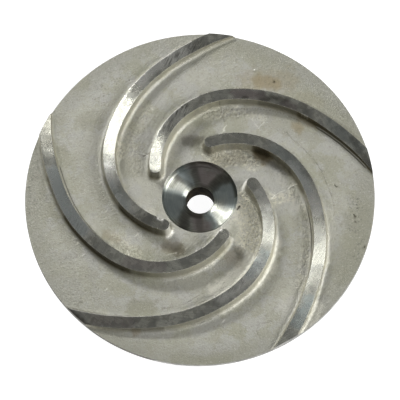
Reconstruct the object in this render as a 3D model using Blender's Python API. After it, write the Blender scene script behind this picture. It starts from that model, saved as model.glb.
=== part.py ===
# Semi-open pump impeller: one stainless casting, turned on its rim, bore, hub recess and vane faces.
# Units are metres. +Z is the shaft axis, from the hub's back face towards the open vane side.
# The origin is the centre of the hub's back face, on which the impeller rests.

import math

import bmesh
import bpy
from mathutils import Matrix, Vector

# Turned sizes
DISC_RADIUS = 0.1000
RIM_THICKNESS = 0.0026
HUB_LENGTH = 0.0206
BORE_RADIUS = 0.0080
BORE_MOUTH_CHAMFER = 0.0008
RECESS_RADIUS = 0.0214
RECESS_LIP_RADIUS = 0.0202
RECESS_LIP_DEPTH = 0.0024
RECESS_SEAT_RADIUS = 0.0104
RECESS_SEAT_DEPTH = 0.0044
RECESS_DEPTH = 0.0056
FACE_CROWN_HEIGHT = 0.0107
FACE_DOME_RADIUS = 0.600

# Cast back of the disc and its hub
BLANK_RADIUS = 0.1025
WEB_THICKNESS_AT_HUB = 0.0040
HUB_RADIUS = 0.0190
HUB_FILLET = 0.0060
HUB_END_CHAMFER = 0.0010

# Cast vanes: four arcs, each tangent to the one before, drawn from the rim inwards
VANE_COUNT = 5
VANE_RIM_ANGLE = math.radians(6.2)
VANE_RIM_HEADING = math.radians(125.3)
VANE_ARCS = (
    (0.135, math.radians(20.0)),
    (0.080, math.radians(34.5)),
    (0.047, math.radians(41.2)),
    (0.0433, math.radians(46.4)),
)
VANE_RUN_OUT = 0.0190
VANE_HALF_WIDTH_AT_RIM = 0.00352
VANE_HALF_WIDTH_AT_NOSE = 0.00334
VANE_NOSE_RADIUS_FROM_AXIS = 0.0296
INNER_DRAFT = math.radians(4.0)
OUTER_DRAFT = math.radians(1.5)
VANE_FILLET = 0.0029
FILLET_SHARE_OF_HEIGHT = 0.85
FILLET_END_SLOPE = math.radians(20.0)
TOE_SINK = 0.0003
# The vanes were cast a little out of centre with the turned rim and bore
PATTERN_SHIFT = Vector((0.00106, 0.00051))

# Facets
DISC_STEPS = 144
HUB_STEPS = 72
HUB_FILLET_STEPS = 4
VANE_STEP_LENGTH = 0.0060
NOSE_STEPS = 8
VANE_FILLET_STEPS = 3
SHARP_ANGLE = math.radians(30.0)

# Clearances that let each cut run past the surface it cuts
OVERCUT = 0.0020

FLOOR_Z = HUB_LENGTH


def clear_scene():
    for scene_object in list(bpy.data.objects):
        bpy.data.objects.remove(scene_object, do_unlink=True)


def cast_steel():
    material = bpy.data.materials.new("cast_stainless_steel")
    material.use_nodes = True
    shader = material.node_tree.nodes["Principled BSDF"]
    shader.inputs["Base Color"].default_value = (0.42, 0.41, 0.37, 1.0)
    shader.inputs["Metallic"].default_value = 0.9
    shader.inputs["Roughness"].default_value = 0.42
    return material


def add_object(name, mesh_builder):
    bmesh.ops.recalc_face_normals(mesh_builder, faces=mesh_builder.faces)
    mesh = bpy.data.meshes.new(name)
    mesh_builder.to_mesh(mesh)
    mesh_builder.free()
    new_object = bpy.data.objects.new(name, mesh)
    bpy.context.collection.objects.link(new_object)
    return new_object


def hide_as_cutter(cutter):
    cutter.hide_render = True
    cutter.display_type = "WIRE"
    return cutter


def turned_solid(name, profile, steps):
    """Turn a profile of (radius, height) pairs, which starts and ends on the axis, about Z."""
    builder = bmesh.new()
    rings = []
    for radius, height in profile:
        if radius == 0.0:
            rings.append([builder.verts.new((0.0, 0.0, height))] * steps)
            continue
        ring = []
        for step in range(steps):
            angle = 2.0 * math.pi * step / steps
            ring.append(builder.verts.new((radius * math.cos(angle), radius * math.sin(angle), height)))
        rings.append(ring)
    for upper, lower in zip(rings, rings[1:]):
        for step in range(steps):
            following = (step + 1) % steps
            corners = [upper[step], upper[following], lower[following], lower[step]]
            builder.faces.new(list(dict.fromkeys(corners)))
    return add_object(name, builder)


def face_height(point):
    """Height above the disc of the vanes' turned front face, a shallow dome about the shaft axis."""
    sag = FACE_DOME_RADIUS - math.sqrt(FACE_DOME_RADIUS ** 2 - point.length_squared)
    return FACE_CROWN_HEIGHT - sag


def blade_stations():
    """Points and headings along a vane's centre line, from outside the rim to the nose."""
    point = DISC_RADIUS * Vector((math.cos(VANE_RIM_ANGLE), math.sin(VANE_RIM_ANGLE)))
    heading = VANE_RIM_HEADING
    run_out = VANE_RUN_OUT / VANE_ARCS[0][0]
    stations = []
    for number, (radius, sweep) in enumerate(VANE_ARCS):
        first_turn = -run_out if number == 0 else 0.0
        steps = max(2, round((sweep - first_turn) * radius / VANE_STEP_LENGTH))
        centre = point + radius * Vector((-math.sin(heading), math.cos(heading)))
        for step in range(steps):
            turned = heading + first_turn + (sweep - first_turn) * step / steps
            stations.append((centre + radius * Vector((math.sin(turned), -math.cos(turned))), turned))
        heading += sweep
        point = centre + radius * Vector((math.sin(heading), -math.cos(heading)))
    stations.append((point, heading))
    return stations


def half_width(point):
    span = DISC_RADIUS - VANE_NOSE_RADIUS_FROM_AXIS
    outward = (point.length - VANE_NOSE_RADIUS_FROM_AXIS) / span
    return VANE_HALF_WIDTH_AT_NOSE + (VANE_HALF_WIDTH_AT_RIM - VANE_HALF_WIDTH_AT_NOSE) * outward


def vane_outline():
    """(centre, outward direction, draft) round a vane: up its inner side, round its nose and back."""
    stations = blade_stations()
    left = [(point, heading + math.pi / 2, INNER_DRAFT) for point, heading in stations]
    right = [(point, heading - math.pi / 2, OUTER_DRAFT) for point, heading in stations]
    nose_point, nose_heading = stations[-1]
    nose = []
    for step in range(1, NOSE_STEPS):
        share = step / NOSE_STEPS
        angle = nose_heading + math.pi / 2 - math.pi * share
        nose.append((nose_point, angle, INNER_DRAFT + (OUTER_DRAFT - INNER_DRAFT) * share))
    return left, nose, right


def wall_section(half_top, height, draft):
    """(distance from the centre line, height) pairs down a wall: top edge, draft, fillet, toe."""
    fillet = min(VANE_FILLET, FILLET_SHARE_OF_HEIGHT * height)
    tangent_height = fillet * (1.0 - math.sin(draft))
    tangent_distance = half_top + (height - tangent_height) * math.tan(draft)
    centre_distance = tangent_distance + fillet * math.cos(draft)
    section = [(half_top, height)]
    last_angle = math.pi / 2 - FILLET_END_SLOPE
    for step in range(VANE_FILLET_STEPS + 1):
        angle = draft + (last_angle - draft) * step / VANE_FILLET_STEPS
        section.append((centre_distance - fillet * math.cos(angle), fillet * (1.0 - math.sin(angle))))
    end_distance, end_height = section[-1]
    toe_run = (end_height + TOE_SINK) / math.tan(FILLET_END_SLOPE)
    section.append((end_distance + toe_run, -TOE_SINK))
    return section


def vane_solid(number):
    turn = Matrix.Rotation(2.0 * math.pi * number / VANE_COUNT, 2)
    builder = bmesh.new()

    def column(point, angle, draft):
        centre = turn @ point + PATTERN_SHIFT
        outward = turn @ Vector((math.cos(angle), math.sin(angle)))
        half_top = half_width(point)
        height = face_height(centre + half_top * outward)
        vertices = []
        for distance, level in wall_section(half_top, height, draft):
            place = centre + distance * outward
            vertices.append(builder.verts.new((place.x, place.y, FLOOR_Z + level)))
        return vertices

    left, nose, right = [[column(*item) for item in part] for part in vane_outline()]
    outline = left + nose + right[::-1]
    for here, following in zip(outline, outline[1:]):
        for level in range(len(here) - 1):
            builder.faces.new((here[level], following[level], following[level + 1], here[level + 1]))
    builder.faces.new(left[0] + right[0][::-1])
    for level in (0, -1):
        for station in range(len(left) - 1):
            builder.faces.new((
                left[station][level], left[station + 1][level],
                right[station + 1][level], right[station][level],
            ))
        builder.faces.new([wall[level] for wall in (left[-1], *nose, right[-1])])
    builder.normal_update()
    bmesh.ops.triangulate(builder, faces=builder.faces)
    return hide_as_cutter(add_object("vane_%d" % (number + 1), builder))


def disc_blank():
    """The cast disc with its hub behind it, before it is turned to size."""
    back_z = FLOOR_Z - RIM_THICKNESS
    web_z = FLOOR_Z - WEB_THICKNESS_AT_HUB
    profile = [(0.0, FLOOR_Z), (BLANK_RADIUS, FLOOR_Z), (BLANK_RADIUS, back_z)]
    for step in range(HUB_FILLET_STEPS + 1):
        angle = math.pi / 2 * step / HUB_FILLET_STEPS
        radius = HUB_RADIUS + HUB_FILLET * (1.0 - math.sin(angle))
        profile.append((radius, web_z - HUB_FILLET * (1.0 - math.cos(angle))))
    profile.append((HUB_RADIUS, HUB_END_CHAMFER))
    profile.append((HUB_RADIUS - HUB_END_CHAMFER, 0.0))
    profile.append((0.0, 0.0))
    return turned_solid("impeller_casting", profile, DISC_STEPS)


def turned_envelope():
    top_z = FLOOR_Z + FACE_CROWN_HEIGHT + OVERCUT
    profile = [(0.0, top_z), (DISC_RADIUS, top_z), (DISC_RADIUS, -OVERCUT), (0.0, -OVERCUT)]
    return hide_as_cutter(turned_solid("rim_turning", profile, DISC_STEPS))


def bore_and_recess():
    """What the lathe takes out of the hub: the dished recess and the through bore."""
    top_z = FLOOR_Z + FACE_CROWN_HEIGHT + OVERCUT
    mouth_radius = BORE_RADIUS + BORE_MOUTH_CHAMFER + OVERCUT
    profile = [
        (0.0, top_z),
        (RECESS_RADIUS, top_z),
        (RECESS_RADIUS, FLOOR_Z),
        (RECESS_LIP_RADIUS, FLOOR_Z - RECESS_LIP_DEPTH),
        (RECESS_SEAT_RADIUS, FLOOR_Z - RECESS_SEAT_DEPTH),
        (BORE_RADIUS, FLOOR_Z - RECESS_DEPTH),
        (BORE_RADIUS, BORE_MOUTH_CHAMFER),
        (mouth_radius, -OVERCUT),
        (0.0, -OVERCUT),
    ]
    return hide_as_cutter(turned_solid("hub_turning", profile, HUB_STEPS))


def add_boolean(target, cutter, operation):
    modifier = target.modifiers.new(cutter.name, "BOOLEAN")
    modifier.operation = operation
    modifier.solver = "EXACT"
    modifier.object = cutter


def impeller():
    casting = disc_blank()
    for number in range(VANE_COUNT):
        add_boolean(casting, vane_solid(number), "UNION")
    add_boolean(casting, turned_envelope(), "INTERSECT")
    add_boolean(casting, bore_and_recess(), "DIFFERENCE")
    casting.data.materials.append(cast_steel())
    casting.data.shade_smooth()
    casting.data.set_sharp_from_angle(angle=SHARP_ANGLE)
    return casting


clear_scene()
impeller()
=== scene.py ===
# %% [markdown]
# This scene dresses a pump impeller: a round disc with five curved vanes standing on its face, all
# one stainless steel casting. A lathe has since cut its rim, its bore, the dish round the bore and
# the front faces of the vanes. Everything else is still the skin that the mould left.
# The packed part fixes every size, so the first step loads it and keeps its box.

import math

import bmesh
import bpy
from mathutils import Matrix, Quaternion, Vector, kdtree, noise
from mathutils.geometry import delaunay_2d_cdt


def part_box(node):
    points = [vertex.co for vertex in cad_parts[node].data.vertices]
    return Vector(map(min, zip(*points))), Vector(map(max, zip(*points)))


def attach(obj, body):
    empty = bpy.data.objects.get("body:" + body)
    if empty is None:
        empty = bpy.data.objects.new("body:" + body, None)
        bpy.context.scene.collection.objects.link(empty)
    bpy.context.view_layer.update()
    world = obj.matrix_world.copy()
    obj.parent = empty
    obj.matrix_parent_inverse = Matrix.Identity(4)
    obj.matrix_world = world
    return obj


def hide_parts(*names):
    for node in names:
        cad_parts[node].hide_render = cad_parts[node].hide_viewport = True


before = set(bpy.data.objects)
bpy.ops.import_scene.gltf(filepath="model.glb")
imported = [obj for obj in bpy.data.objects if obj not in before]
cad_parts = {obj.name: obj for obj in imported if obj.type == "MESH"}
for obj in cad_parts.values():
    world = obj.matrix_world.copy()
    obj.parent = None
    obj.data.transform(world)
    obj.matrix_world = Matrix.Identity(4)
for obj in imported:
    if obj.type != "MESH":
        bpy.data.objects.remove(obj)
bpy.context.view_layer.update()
CASTING_NODE = "impeller_casting"
low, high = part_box(CASTING_NODE)
print("packed casting, millimetres:", [round(1000 * (b - a), 2) for a, b in zip(low, high)])

# %% [markdown]
# The camera comes before the shapes, so that every later render can be laid beside the photograph.
# Look at the rim: it is an ellipse 350 pixels wide and 331 high, and the arc cosine of that ratio
# is 19 degrees. So the camera looks down at the disc from 19 degrees off its axis. Its long lens
# keeps the near and the far vanes almost equally wide, as they are in the photograph.

# %% Camera
PHOTO_SIDE = 400
PIXEL = 0.0005718
VIEW_TILT = math.radians(19.1)
VIEW_ROLL = math.radians(4.5)
LENS = 288.0
SENSOR = 36.0
AXIS_PIXEL = Vector((199.7, 196.85))
AXIS_HEIGHT = 0.0206

up_the_disc = Vector((0.0, math.cos(VIEW_TILT), math.sin(VIEW_TILT)))
across_the_disc = Vector((1.0, 0.0, 0.0))
view_right = math.cos(VIEW_ROLL) * across_the_disc - math.sin(VIEW_ROLL) * up_the_disc
view_up = math.sin(VIEW_ROLL) * across_the_disc + math.cos(VIEW_ROLL) * up_the_disc
view_back = Vector((0.0, -math.sin(VIEW_TILT), math.cos(VIEW_TILT)))

off_centre = PIXEL * (Vector((PHOTO_SIDE / 2, PHOTO_SIDE / 2)) - AXIS_PIXEL)
aim = Vector((0.0, 0.0, AXIS_HEIGHT)) + off_centre.x * view_right - off_centre.y * view_up
camera_data = bpy.data.cameras.new("studio_camera")
camera_data.lens = LENS
camera_data.sensor_width = SENSOR
camera = bpy.data.objects.new("studio_camera", camera_data)
bpy.context.scene.collection.objects.link(camera)
CAMERA_DISTANCE = PIXEL * PHOTO_SIDE * LENS / SENSOR
turn = Matrix((view_right, view_up, view_back)).transposed().to_4x4()
camera.matrix_world = Matrix.Translation(aim + CAMERA_DISTANCE * view_back) @ turn
bpy.context.scene.camera = camera
print("camera distance, metres:", round(CAMERA_DISTANCE, 3))

# %% [markdown]
# These are the sizes of the packed part. The lathe left true circles about the shaft axis, and the
# foundry left vanes about an axis of their own, a millimetre to one side: the pattern's two halves
# never meet the lathe's centre exactly, and it shows in the photograph.

# %% Sizes of the part
DISC_RADIUS = 0.1000
RIM_THICKNESS = 0.0026
FLOOR_Z = 0.0206
BORE_RADIUS = 0.0080
BORE_MOUTH_CHAMFER = 0.0008
RECESS_RADIUS = 0.0214
RECESS_LIP_RADIUS = 0.0202
RECESS_LIP_DEPTH = 0.0024
RECESS_SEAT_RADIUS = 0.0104
RECESS_SEAT_DEPTH = 0.0044
RECESS_DEPTH = 0.0056
FACE_CROWN_HEIGHT = 0.0107
FACE_DOME_RADIUS = 0.600
WEB_THICKNESS_AT_HUB = 0.0040
HUB_RADIUS = 0.0190
HUB_FILLET = 0.0060
HUB_END_CHAMFER = 0.0010

VANE_COUNT = 5
VANE_RIM_ANGLE = math.radians(6.2)
VANE_RIM_HEADING = math.radians(125.3)
VANE_ARCS = (
    (0.135, math.radians(20.0)),
    (0.080, math.radians(34.5)),
    (0.047, math.radians(41.2)),
    (0.0433, math.radians(46.4)),
)
VANE_RUN_OUT = 0.0190
VANE_HALF_WIDTH_AT_RIM = 0.00352
VANE_HALF_WIDTH_AT_NOSE = 0.00334
VANE_NOSE_RADIUS_FROM_AXIS = 0.0296
INNER_DRAFT = math.radians(4.0)
OUTER_DRAFT = math.radians(1.5)
VANE_FILLET = 0.0029
FILLET_SHARE_OF_HEIGHT = 0.85
PATTERN_SHIFT = Vector((0.00106, 0.00051))

# %% [markdown]
# The marks and stains below are placed one by one, each by the pixel where the photograph shows it.
# This function follows the camera's ray through a pixel down to a height on the part, so that a
# mark stays on its spot of the metal when the camera moves round it.

# %% Places read off the photograph
def seen_at(column, row, height=FLOOR_Z):
    """The place at a height that the camera sees through a pixel of the photograph."""
    across = (column - PHOTO_SIDE / 2) * PIXEL
    down = (row - PHOTO_SIDE / 2) * PIXEL
    ray = across * view_right - down * view_up - CAMERA_DISTANCE * view_back
    eye = camera.matrix_world.translation
    place = eye + ray * ((height - eye.z) / ray.z)
    return place.xy


print("hub's edge on the left, millimetres:", [round(1000 * part, 1) for part in seen_at(162.6, 199.0)])

# %% [markdown]
# Each vane follows four arcs that meet without a kink, tight near the hub and almost straight at
# the rim. A curve object could hold them, but the walls need a vertex column at every half
# millimetre, so this function walks along the arcs and returns points with the heading at each.

# %% The vane's centre line
VANE_STEP = 0.00062


def vane_stations():
    """Points and headings along a vane's centre line, from outside the rim to the nose."""
    point = DISC_RADIUS * Vector((math.cos(VANE_RIM_ANGLE), math.sin(VANE_RIM_ANGLE)))
    heading = VANE_RIM_HEADING
    run_out = VANE_RUN_OUT / VANE_ARCS[0][0]
    stations = []
    for number, (radius, sweep) in enumerate(VANE_ARCS):
        first_turn = -run_out if number == 0 else 0.0
        steps = round((sweep - first_turn) * radius / VANE_STEP)
        centre = point + radius * Vector((-math.sin(heading), math.cos(heading)))
        for step in range(steps):
            turned = heading + first_turn + (sweep - first_turn) * step / steps
            stations.append((centre + radius * Vector((math.sin(turned), -math.cos(turned))), turned))
        heading += sweep
        point = centre + radius * Vector((math.sin(heading), -math.cos(heading)))
    stations.append((point, heading))
    return stations


STATIONS = vane_stations()
print("stations along a vane:", len(STATIONS))

# %% [markdown]
# The sand mould left pits, cracks and ridges in the floor, and handling has added nicks. On a real
# casting no two are alike, so noise can't give them. Each is a stroke of its own instead: a short
# line that sinks or lifts the floor, deepest along its middle and fading to nothing at its edge.

# %% The marks in the cast skin
# Each stroke has half a width and a height in millimetres, then the pixels that it runs through.
# A height below zero cuts a groove. A single pixel makes a round pit or grain.
STROKES = (
    ("first fleck on the left floor", 0.45, 0.18, ((118.4, 144.0), (120.0, 146.5))),
    ("second fleck on the left floor", 0.45, 0.18, ((120.4, 150.0), (121.4, 152.6))),
    ("fleck above the black crack", 0.35, 0.12, ((152.0, 108.5), (153.0, 110.0))),
    ("fleck low on the left", 0.45, 0.16, ((82.5, 256.0), (85.0, 254.0))),
    ("second fleck low on the left", 0.4, 0.12, ((105.0, 290.4), (107.0, 289.0))),
    ("fleck beside the lower vane", 0.4, 0.10, ((169.0, 254.6), (176.0, 253.0))),
    ("fleck at the right foot", 0.4, 0.10, ((222.0, 322.0), (224.0, 320.0))),
    ("dark line by the lower left rim", 0.35, -0.05, ((70.0, 300.8), (82.0, 302.4))),
    ("curved crack low on the right", 0.3, -0.06, (
        (271.7, 321.8), (259.0, 324.0), (256.0, 331.0), (260.0, 339.0),
    )),
    ("pit in the tan stain", 0.55, -0.4, ((274.4, 81.6),)),
    ("pit beside the dish", 0.85, -0.3, ((237.4, 209.0), (239.4, 206.4))),
    ("pit near the upper left vane", 0.5, -0.25, ((129.3, 80.3),)),
    ("hole low on the right", 0.7, -0.45, ((281.0, 342.2),)),
    ("grain left by the sand", 0.5, 0.3, ((254.4, 69.8),)),
    ("upper pit near the right rim", 0.45, -0.16, ((357.0, 208.5),)),
    ("middle pit near the right rim", 0.5, -0.18, ((353.6, 214.5), (355.0, 216.5))),
    ("lower pit near the right rim", 0.45, -0.16, ((355.5, 222.0),)),
    ("pit at the right rim", 0.6, -0.2, ((364.5, 247.0),)),
    ("short nick on the right floor", 0.4, -0.25, ((334.6, 185.0), (336.6, 187.0))),
    ("weld spatter line, left end", 0.5, 0.20, ((271.6, 198.6), (274.4, 195.6))),
    ("weld spatter line, middle", 0.4, 0.13, ((276.2, 194.6), (281.0, 191.6), (284.6, 190.4))),
    ("weld spatter line, right end", 0.45, 0.18, ((288.4, 188.6), (291.4, 186.6), (296.4, 184.6))),
    ("grain above the spatter line", 0.4, 0.14, ((283.0, 187.4),)),
    ("grain below the spatter line", 0.4, 0.12, ((286.6, 192.0),)),
    ("grain right of the spatter line", 0.4, 0.14, ((293.6, 190.0),)),
    ("crack above the inner nose", 0.4, -0.10, (
        (219.6, 104.5), (221.4, 111.0), (220.8, 114.0), (222.6, 116.5), (224.0, 121.4),
    )),
    ("ridge that ends the crack", 0.4, 0.16, ((226.2, 125.6), (224.0, 128.4), (223.8, 131.2))),
    ("foot of that ridge", 0.45, 0.10, ((223.8, 131.2), (220.6, 133.6))),
    ("parting line under the upper vane", 0.32, -0.08, (
        (206.0, 114.0), (214.0, 111.4), (228.0, 109.6), (240.0, 108.6), (255.0, 108.4), (270.0, 110.6),
    )),
    ("parting line, right end", 0.3, -0.06, ((270.0, 110.6), (284.0, 114.2), (298.0, 120.0))),
    ("parting line right of the vane", 0.3, -0.10, (
        (287.0, 132.5), (292.0, 139.0), (299.0, 144.6), (305.0, 150.2), (312.0, 157.2), (317.0, 164.0),
        (322.0, 172.0), (326.0, 182.0), (331.0, 195.0), (334.0, 206.5), (334.0, 220.0),
    )),
    ("scratch above the lower vane", 0.3, -0.06, (
        (163.0, 309.0), (176.0, 306.5), (186.0, 303.5), (199.0, 295.5),
    )),
    ("first scratch at mid height", 0.35, 0.12, ((258.6, 128.2), (264.2, 122.4))),
    ("second scratch at mid height", 0.35, 0.12, ((252.0, 119.5), (257.0, 126.5))),
    ("black crack", 0.4, -0.2, ((144.0, 156.2), (150.4, 152.4))),
    ("ridge across the black crack", 0.35, 0.15, ((136.5, 152.0), (147.5, 155.6))),
    ("long tick at lower left", 0.35, 0.14, ((134.4, 237.0), (142.0, 231.2))),
    ("short tick at lower left", 0.35, 0.12, ((140.6, 231.4), (141.2, 236.4))),
    ("tick beside the lower left vane", 0.4, 0.16, ((127.6, 250.6), (130.2, 257.4))),
    ("cross tick beside it", 0.35, 0.12, ((125.6, 254.2), (133.6, 249.4))),
)
print("marks:", len(STROKES))

# %% [markdown]
# Each stroke becomes a row of round samples a third of a millimetre apart. The height of the floor
# at any place is then a question to a search tree: of the samples in reach, which is strongest?

# %% Heights of the marks
STROKE_STEP = 0.00030


def stroke_samples(radius, height, places):
    """(place, radius, height) at even steps along a line of places."""
    samples = [(places[0], radius, height)]
    for start, end in zip(places, places[1:]):
        steps = math.ceil((end - start).length / STROKE_STEP)
        samples += [(start.lerp(end, step / steps), radius, height) for step in range(1, steps + 1)]
    return samples


def tree_of(places):
    """A search tree over places, by their x and y."""
    tree = kdtree.KDTree(len(places))
    for index, place in enumerate(places):
        tree.insert((place[0], place[1], 0.0), index)
    tree.balance()
    return tree


MARKS = []
for _, half_width_mm, height_mm, pixels in STROKES:
    places = [seen_at(*pixel) for pixel in pixels]
    MARKS += stroke_samples(half_width_mm / 1000.0, height_mm / 1000.0, places)
WIDEST_MARK = max(radius for place, radius, height in MARKS)
mark_tree = tree_of([place for place, radius, height in MARKS])


def mark_height(x, y):
    """How far a mark raises or sinks the floor: the strongest of the samples that reach here."""
    strongest = 0.0
    for place, index, distance in mark_tree.find_range((x, y, 0.0), WIDEST_MARK):
        radius, height = MARKS[index][1:]
        if distance < radius:
            swell = height * (1.0 - (distance / radius) ** 2) ** 2
            strongest = max(strongest, swell, key=abs)
    return strongest


print("samples along the marks:", len(MARKS))

# %% [markdown]
# A sand mould never leaves a flat or straight surface. The floor between the vanes heaves by a
# tenth of a millimetre, which a satin metal shows as soft clouds of light, and the walls wander.
# Noise gives both. It is read by place, so it comes out the same on every run.

# %% The unevenness of the cast skin
BROAD_WAVE = 0.019
BROAD_WAVE_HEIGHT = 0.00016
SMALL_WAVE = 0.0045
SMALL_WAVE_HEIGHT = 0.000025
WALL_WAVE = 0.0085
WALL_WANDER = 0.00016
FILLET_SPREAD = 0.16


def sand_wave(x, y):
    """How far the mould let the surface heave."""
    broad = noise.noise(Vector((x, y, 0.0)) / BROAD_WAVE)
    small = noise.noise(Vector((x, y, 0.031)) / SMALL_WAVE)
    return BROAD_WAVE_HEIGHT * broad + SMALL_WAVE_HEIGHT * small


def skin_wave(x, y):
    """How far the cast floor stands above its true height, with its marks."""
    return sand_wave(x, y) + mark_height(x, y)


def wall_wave(x, y):
    """A number from about -1 to 1 that changes slowly along the walls."""
    return noise.noise(Vector((x, y, 0.2)) / WALL_WAVE)


print("floor height strays by up to, millimetres:", 1000 * (BROAD_WAVE_HEIGHT + SMALL_WAVE_HEIGHT))

# %% [markdown]
# A vane's cross section starts on its turned face, rounds over a worn edge, runs down a wall that
# leans out by a few degrees so that the pattern could leave the sand, and sweeps into the floor in
# a fillet. Distances are from the vane's centre line, and heights from the floor.

# %% The vane's cross section
EDGE_ROUND = 0.00011
EDGE_STEPS = 3
WALL_STEPS = 4
FILLET_STEPS = 8
FLOOR_SLOPE = math.radians(2.0)


def face_height(radius):
    """Height above the floor of the vanes' turned front face, a shallow dome about the shaft."""
    return FACE_CROWN_HEIGHT - FACE_DOME_RADIUS + math.sqrt(FACE_DOME_RADIUS ** 2 - radius ** 2)


def half_width(radius):
    span = DISC_RADIUS - VANE_NOSE_RADIUS_FROM_AXIS
    outward = (radius - VANE_NOSE_RADIUS_FROM_AXIS) / span
    return VANE_HALF_WIDTH_AT_NOSE + (VANE_HALF_WIDTH_AT_RIM - VANE_HALF_WIDTH_AT_NOSE) * outward


def wall_section(half_top, height, fillet, draft):
    """(distance, height) pairs from the turned face down to the floor."""
    section = []
    for step in range(EDGE_STEPS + 1):
        angle = (math.pi / 2 - draft) * step / EDGE_STEPS
        inward = EDGE_ROUND * (1.0 - math.sin(angle))
        section.append((half_top - inward, height - EDGE_ROUND * (1.0 - math.cos(angle))))
    edge_distance, edge_height = section[-1]
    fillet_top = fillet * (1.0 - math.sin(draft))
    fillet_start = edge_distance + (edge_height - fillet_top) * math.tan(draft)
    for step in range(1, WALL_STEPS):
        share = step / WALL_STEPS
        section.append((
            edge_distance + (fillet_start - edge_distance) * share,
            edge_height + (fillet_top - edge_height) * share,
        ))
    centre_distance = fillet_start + fillet * math.cos(draft)
    last_angle = math.pi / 2 - FLOOR_SLOPE
    for step in range(FILLET_STEPS + 1):
        angle = draft + (last_angle - draft) * step / FILLET_STEPS
        level = fillet * (1.0 - math.sin(angle))
        section.append((centre_distance - fillet * math.cos(angle), level))
    return section


LEVELS = len(wall_section(VANE_HALF_WIDTH_AT_RIM, FACE_CROWN_HEIGHT, VANE_FILLET, INNER_DRAFT))
print("points down each wall:", LEVELS)

# %% [markdown]
# The whole cast side can be drawn on a map, because no wall leans back: each place on the map has
# one height. So the mesh is built flat, as points and lines on a plan, and a constrained
# triangulation fills it. That gives even triangles and exact edges where the walls meet the
# floor, which a Boolean between dense meshes would spoil with slivers. This class keeps the plan.

# %% The plan of the cast side
RIM_BREAK = 0.00016
RIM_LINE = DISC_RADIUS - RIM_BREAK
RECESS_BREAK = 0.00024
RECESS_LINE = RECESS_RADIUS + RECESS_BREAK


class Plan:
    """Points with heights and lines between them. Lines are cut at the rim and at the recess."""

    def __init__(self):
        self.points = []
        self.lines = []
        self.on_face = set()
        self.cuts = {RIM_LINE: [], RECESS_LINE: []}

    def add(self, place, on_face=False):
        self.points.append(place)
        if on_face:
            self.on_face.add(len(self.points) - 1)
        return len(self.points) - 1

    def add_level(self, places, vane, on_face):
        """Add one level line of a vane, keeping what lies between the recess and the rim."""
        last = None
        for place, following in zip(places, places[1:] + [None]):
            inside = RECESS_LINE < place.xy.length < RIM_LINE
            index = self.add(place, on_face) if inside else None
            if last is not None:
                last_place, last_index = last
                ends = [last_index, index]
                if inside != (last_index is not None):
                    cut = self.cut(last_place, place, vane, on_face)
                    ends = [last_index if last_index is not None else cut, index if inside else cut]
                if None not in ends:
                    self.lines.append(tuple(ends))
            last = (place, index)

    def cut(self, start, end, vane, on_face):
        """The point where a line crosses the rim or the recess, added and noted with its vane."""
        radius = RIM_LINE if max(start.xy.length, end.xy.length) >= RIM_LINE else RECESS_LINE
        run = end - start
        a = run.xy.length_squared
        b = start.xy.dot(run.xy)
        c = start.xy.length_squared - radius ** 2
        root = math.sqrt(b * b - a * c)
        share = next(s for s in ((-b + root) / a, (-b - root) / a) if 0.0 <= s <= 1.0)
        place = start + share * run
        index = self.add(place, on_face)
        self.cuts[radius].append((math.atan2(place.y, place.x), index, vane, on_face))
        return index


plan = Plan()
print("turned lines on the plan, millimetres:", [round(1000 * r, 2) for r in plan.cuts])

# %% [markdown]
# Now the five vanes go onto the plan. Each station gives one column of points down the left wall
# and one down the right, and the round nose gets a fan of columns. Joining the same level from
# column to column draws the wall like the contour lines of a hill.

# %% Put the vanes on the plan
NOSE_STEPS = 16
FACE_LANES = (0.06, 0.2, 0.4, 0.6, 0.8, 0.94)
DOME_PASSES = 4
CHIP_FADE = 3

# Where a turned edge has broken away: reach and depth in millimetres, and the pixel it shows at
CHIPS = (
    ("chip in the second nose", 1.5, 1.3, (160.6, 217.2)),
    ("nick in the left nose", 0.8, 0.4, (150.4, 168.0)),
    ("nick in the upper left vane", 0.9, 0.4, (128.0, 84.0)),
    ("nick in the right vane", 0.8, 0.4, (303.0, 182.0)),
)


def seen_on_top(column, row):
    """The place on the turned face's dome that the camera sees through a pixel, closed in on."""
    place = seen_at(column, row)
    for _ in range(DOME_PASSES):
        place = seen_at(column, row, FLOOR_Z + face_height(min(place.length, DISC_RADIUS)))
    return place


def chip_depth(edge):
    """How far a chip sets back the top of a wall."""
    deepest = 0.0
    for _, reach_mm, depth_mm, pixel in CHIPS:
        share = 1000.0 * (edge - seen_on_top(*pixel)).length / reach_mm
        deepest = max(deepest, depth_mm / 1000.0 * (1.0 - share ** 2))
    return deepest


def vane_column(vane, point, angle, draft):
    """Places down one wall, from the turned face to the floor."""
    spin = Matrix.Rotation(2.0 * math.pi * vane / VANE_COUNT, 2)
    centre = spin @ point + PATTERN_SHIFT
    outward = spin @ Vector((math.cos(angle), math.sin(angle)))
    half_top = half_width(point.length)
    edge = centre + half_top * outward
    stray = wall_wave(edge.x, edge.y)
    half_top += WALL_WANDER * stray
    height = face_height((centre + half_top * outward).length)
    fillet = min(VANE_FILLET * (1.0 + FILLET_SPREAD * stray), FILLET_SHARE_OF_HEIGHT * height)
    places = []
    chip = chip_depth(edge)
    for distance, level in wall_section(half_top, height, fillet, draft):
        spot = centre + (distance - chip * (level / height) ** CHIP_FADE) * outward
        sunk = skin_wave(spot.x, spot.y) * (1.0 - level / height)
        places.append(Vector((spot.x, spot.y, FLOOR_Z + level + sunk)))
    return places


def on_dome(x, y):
    return Vector((x, y, FLOOR_Z + face_height(math.hypot(x, y))))


TOP_EDGES = []


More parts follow.
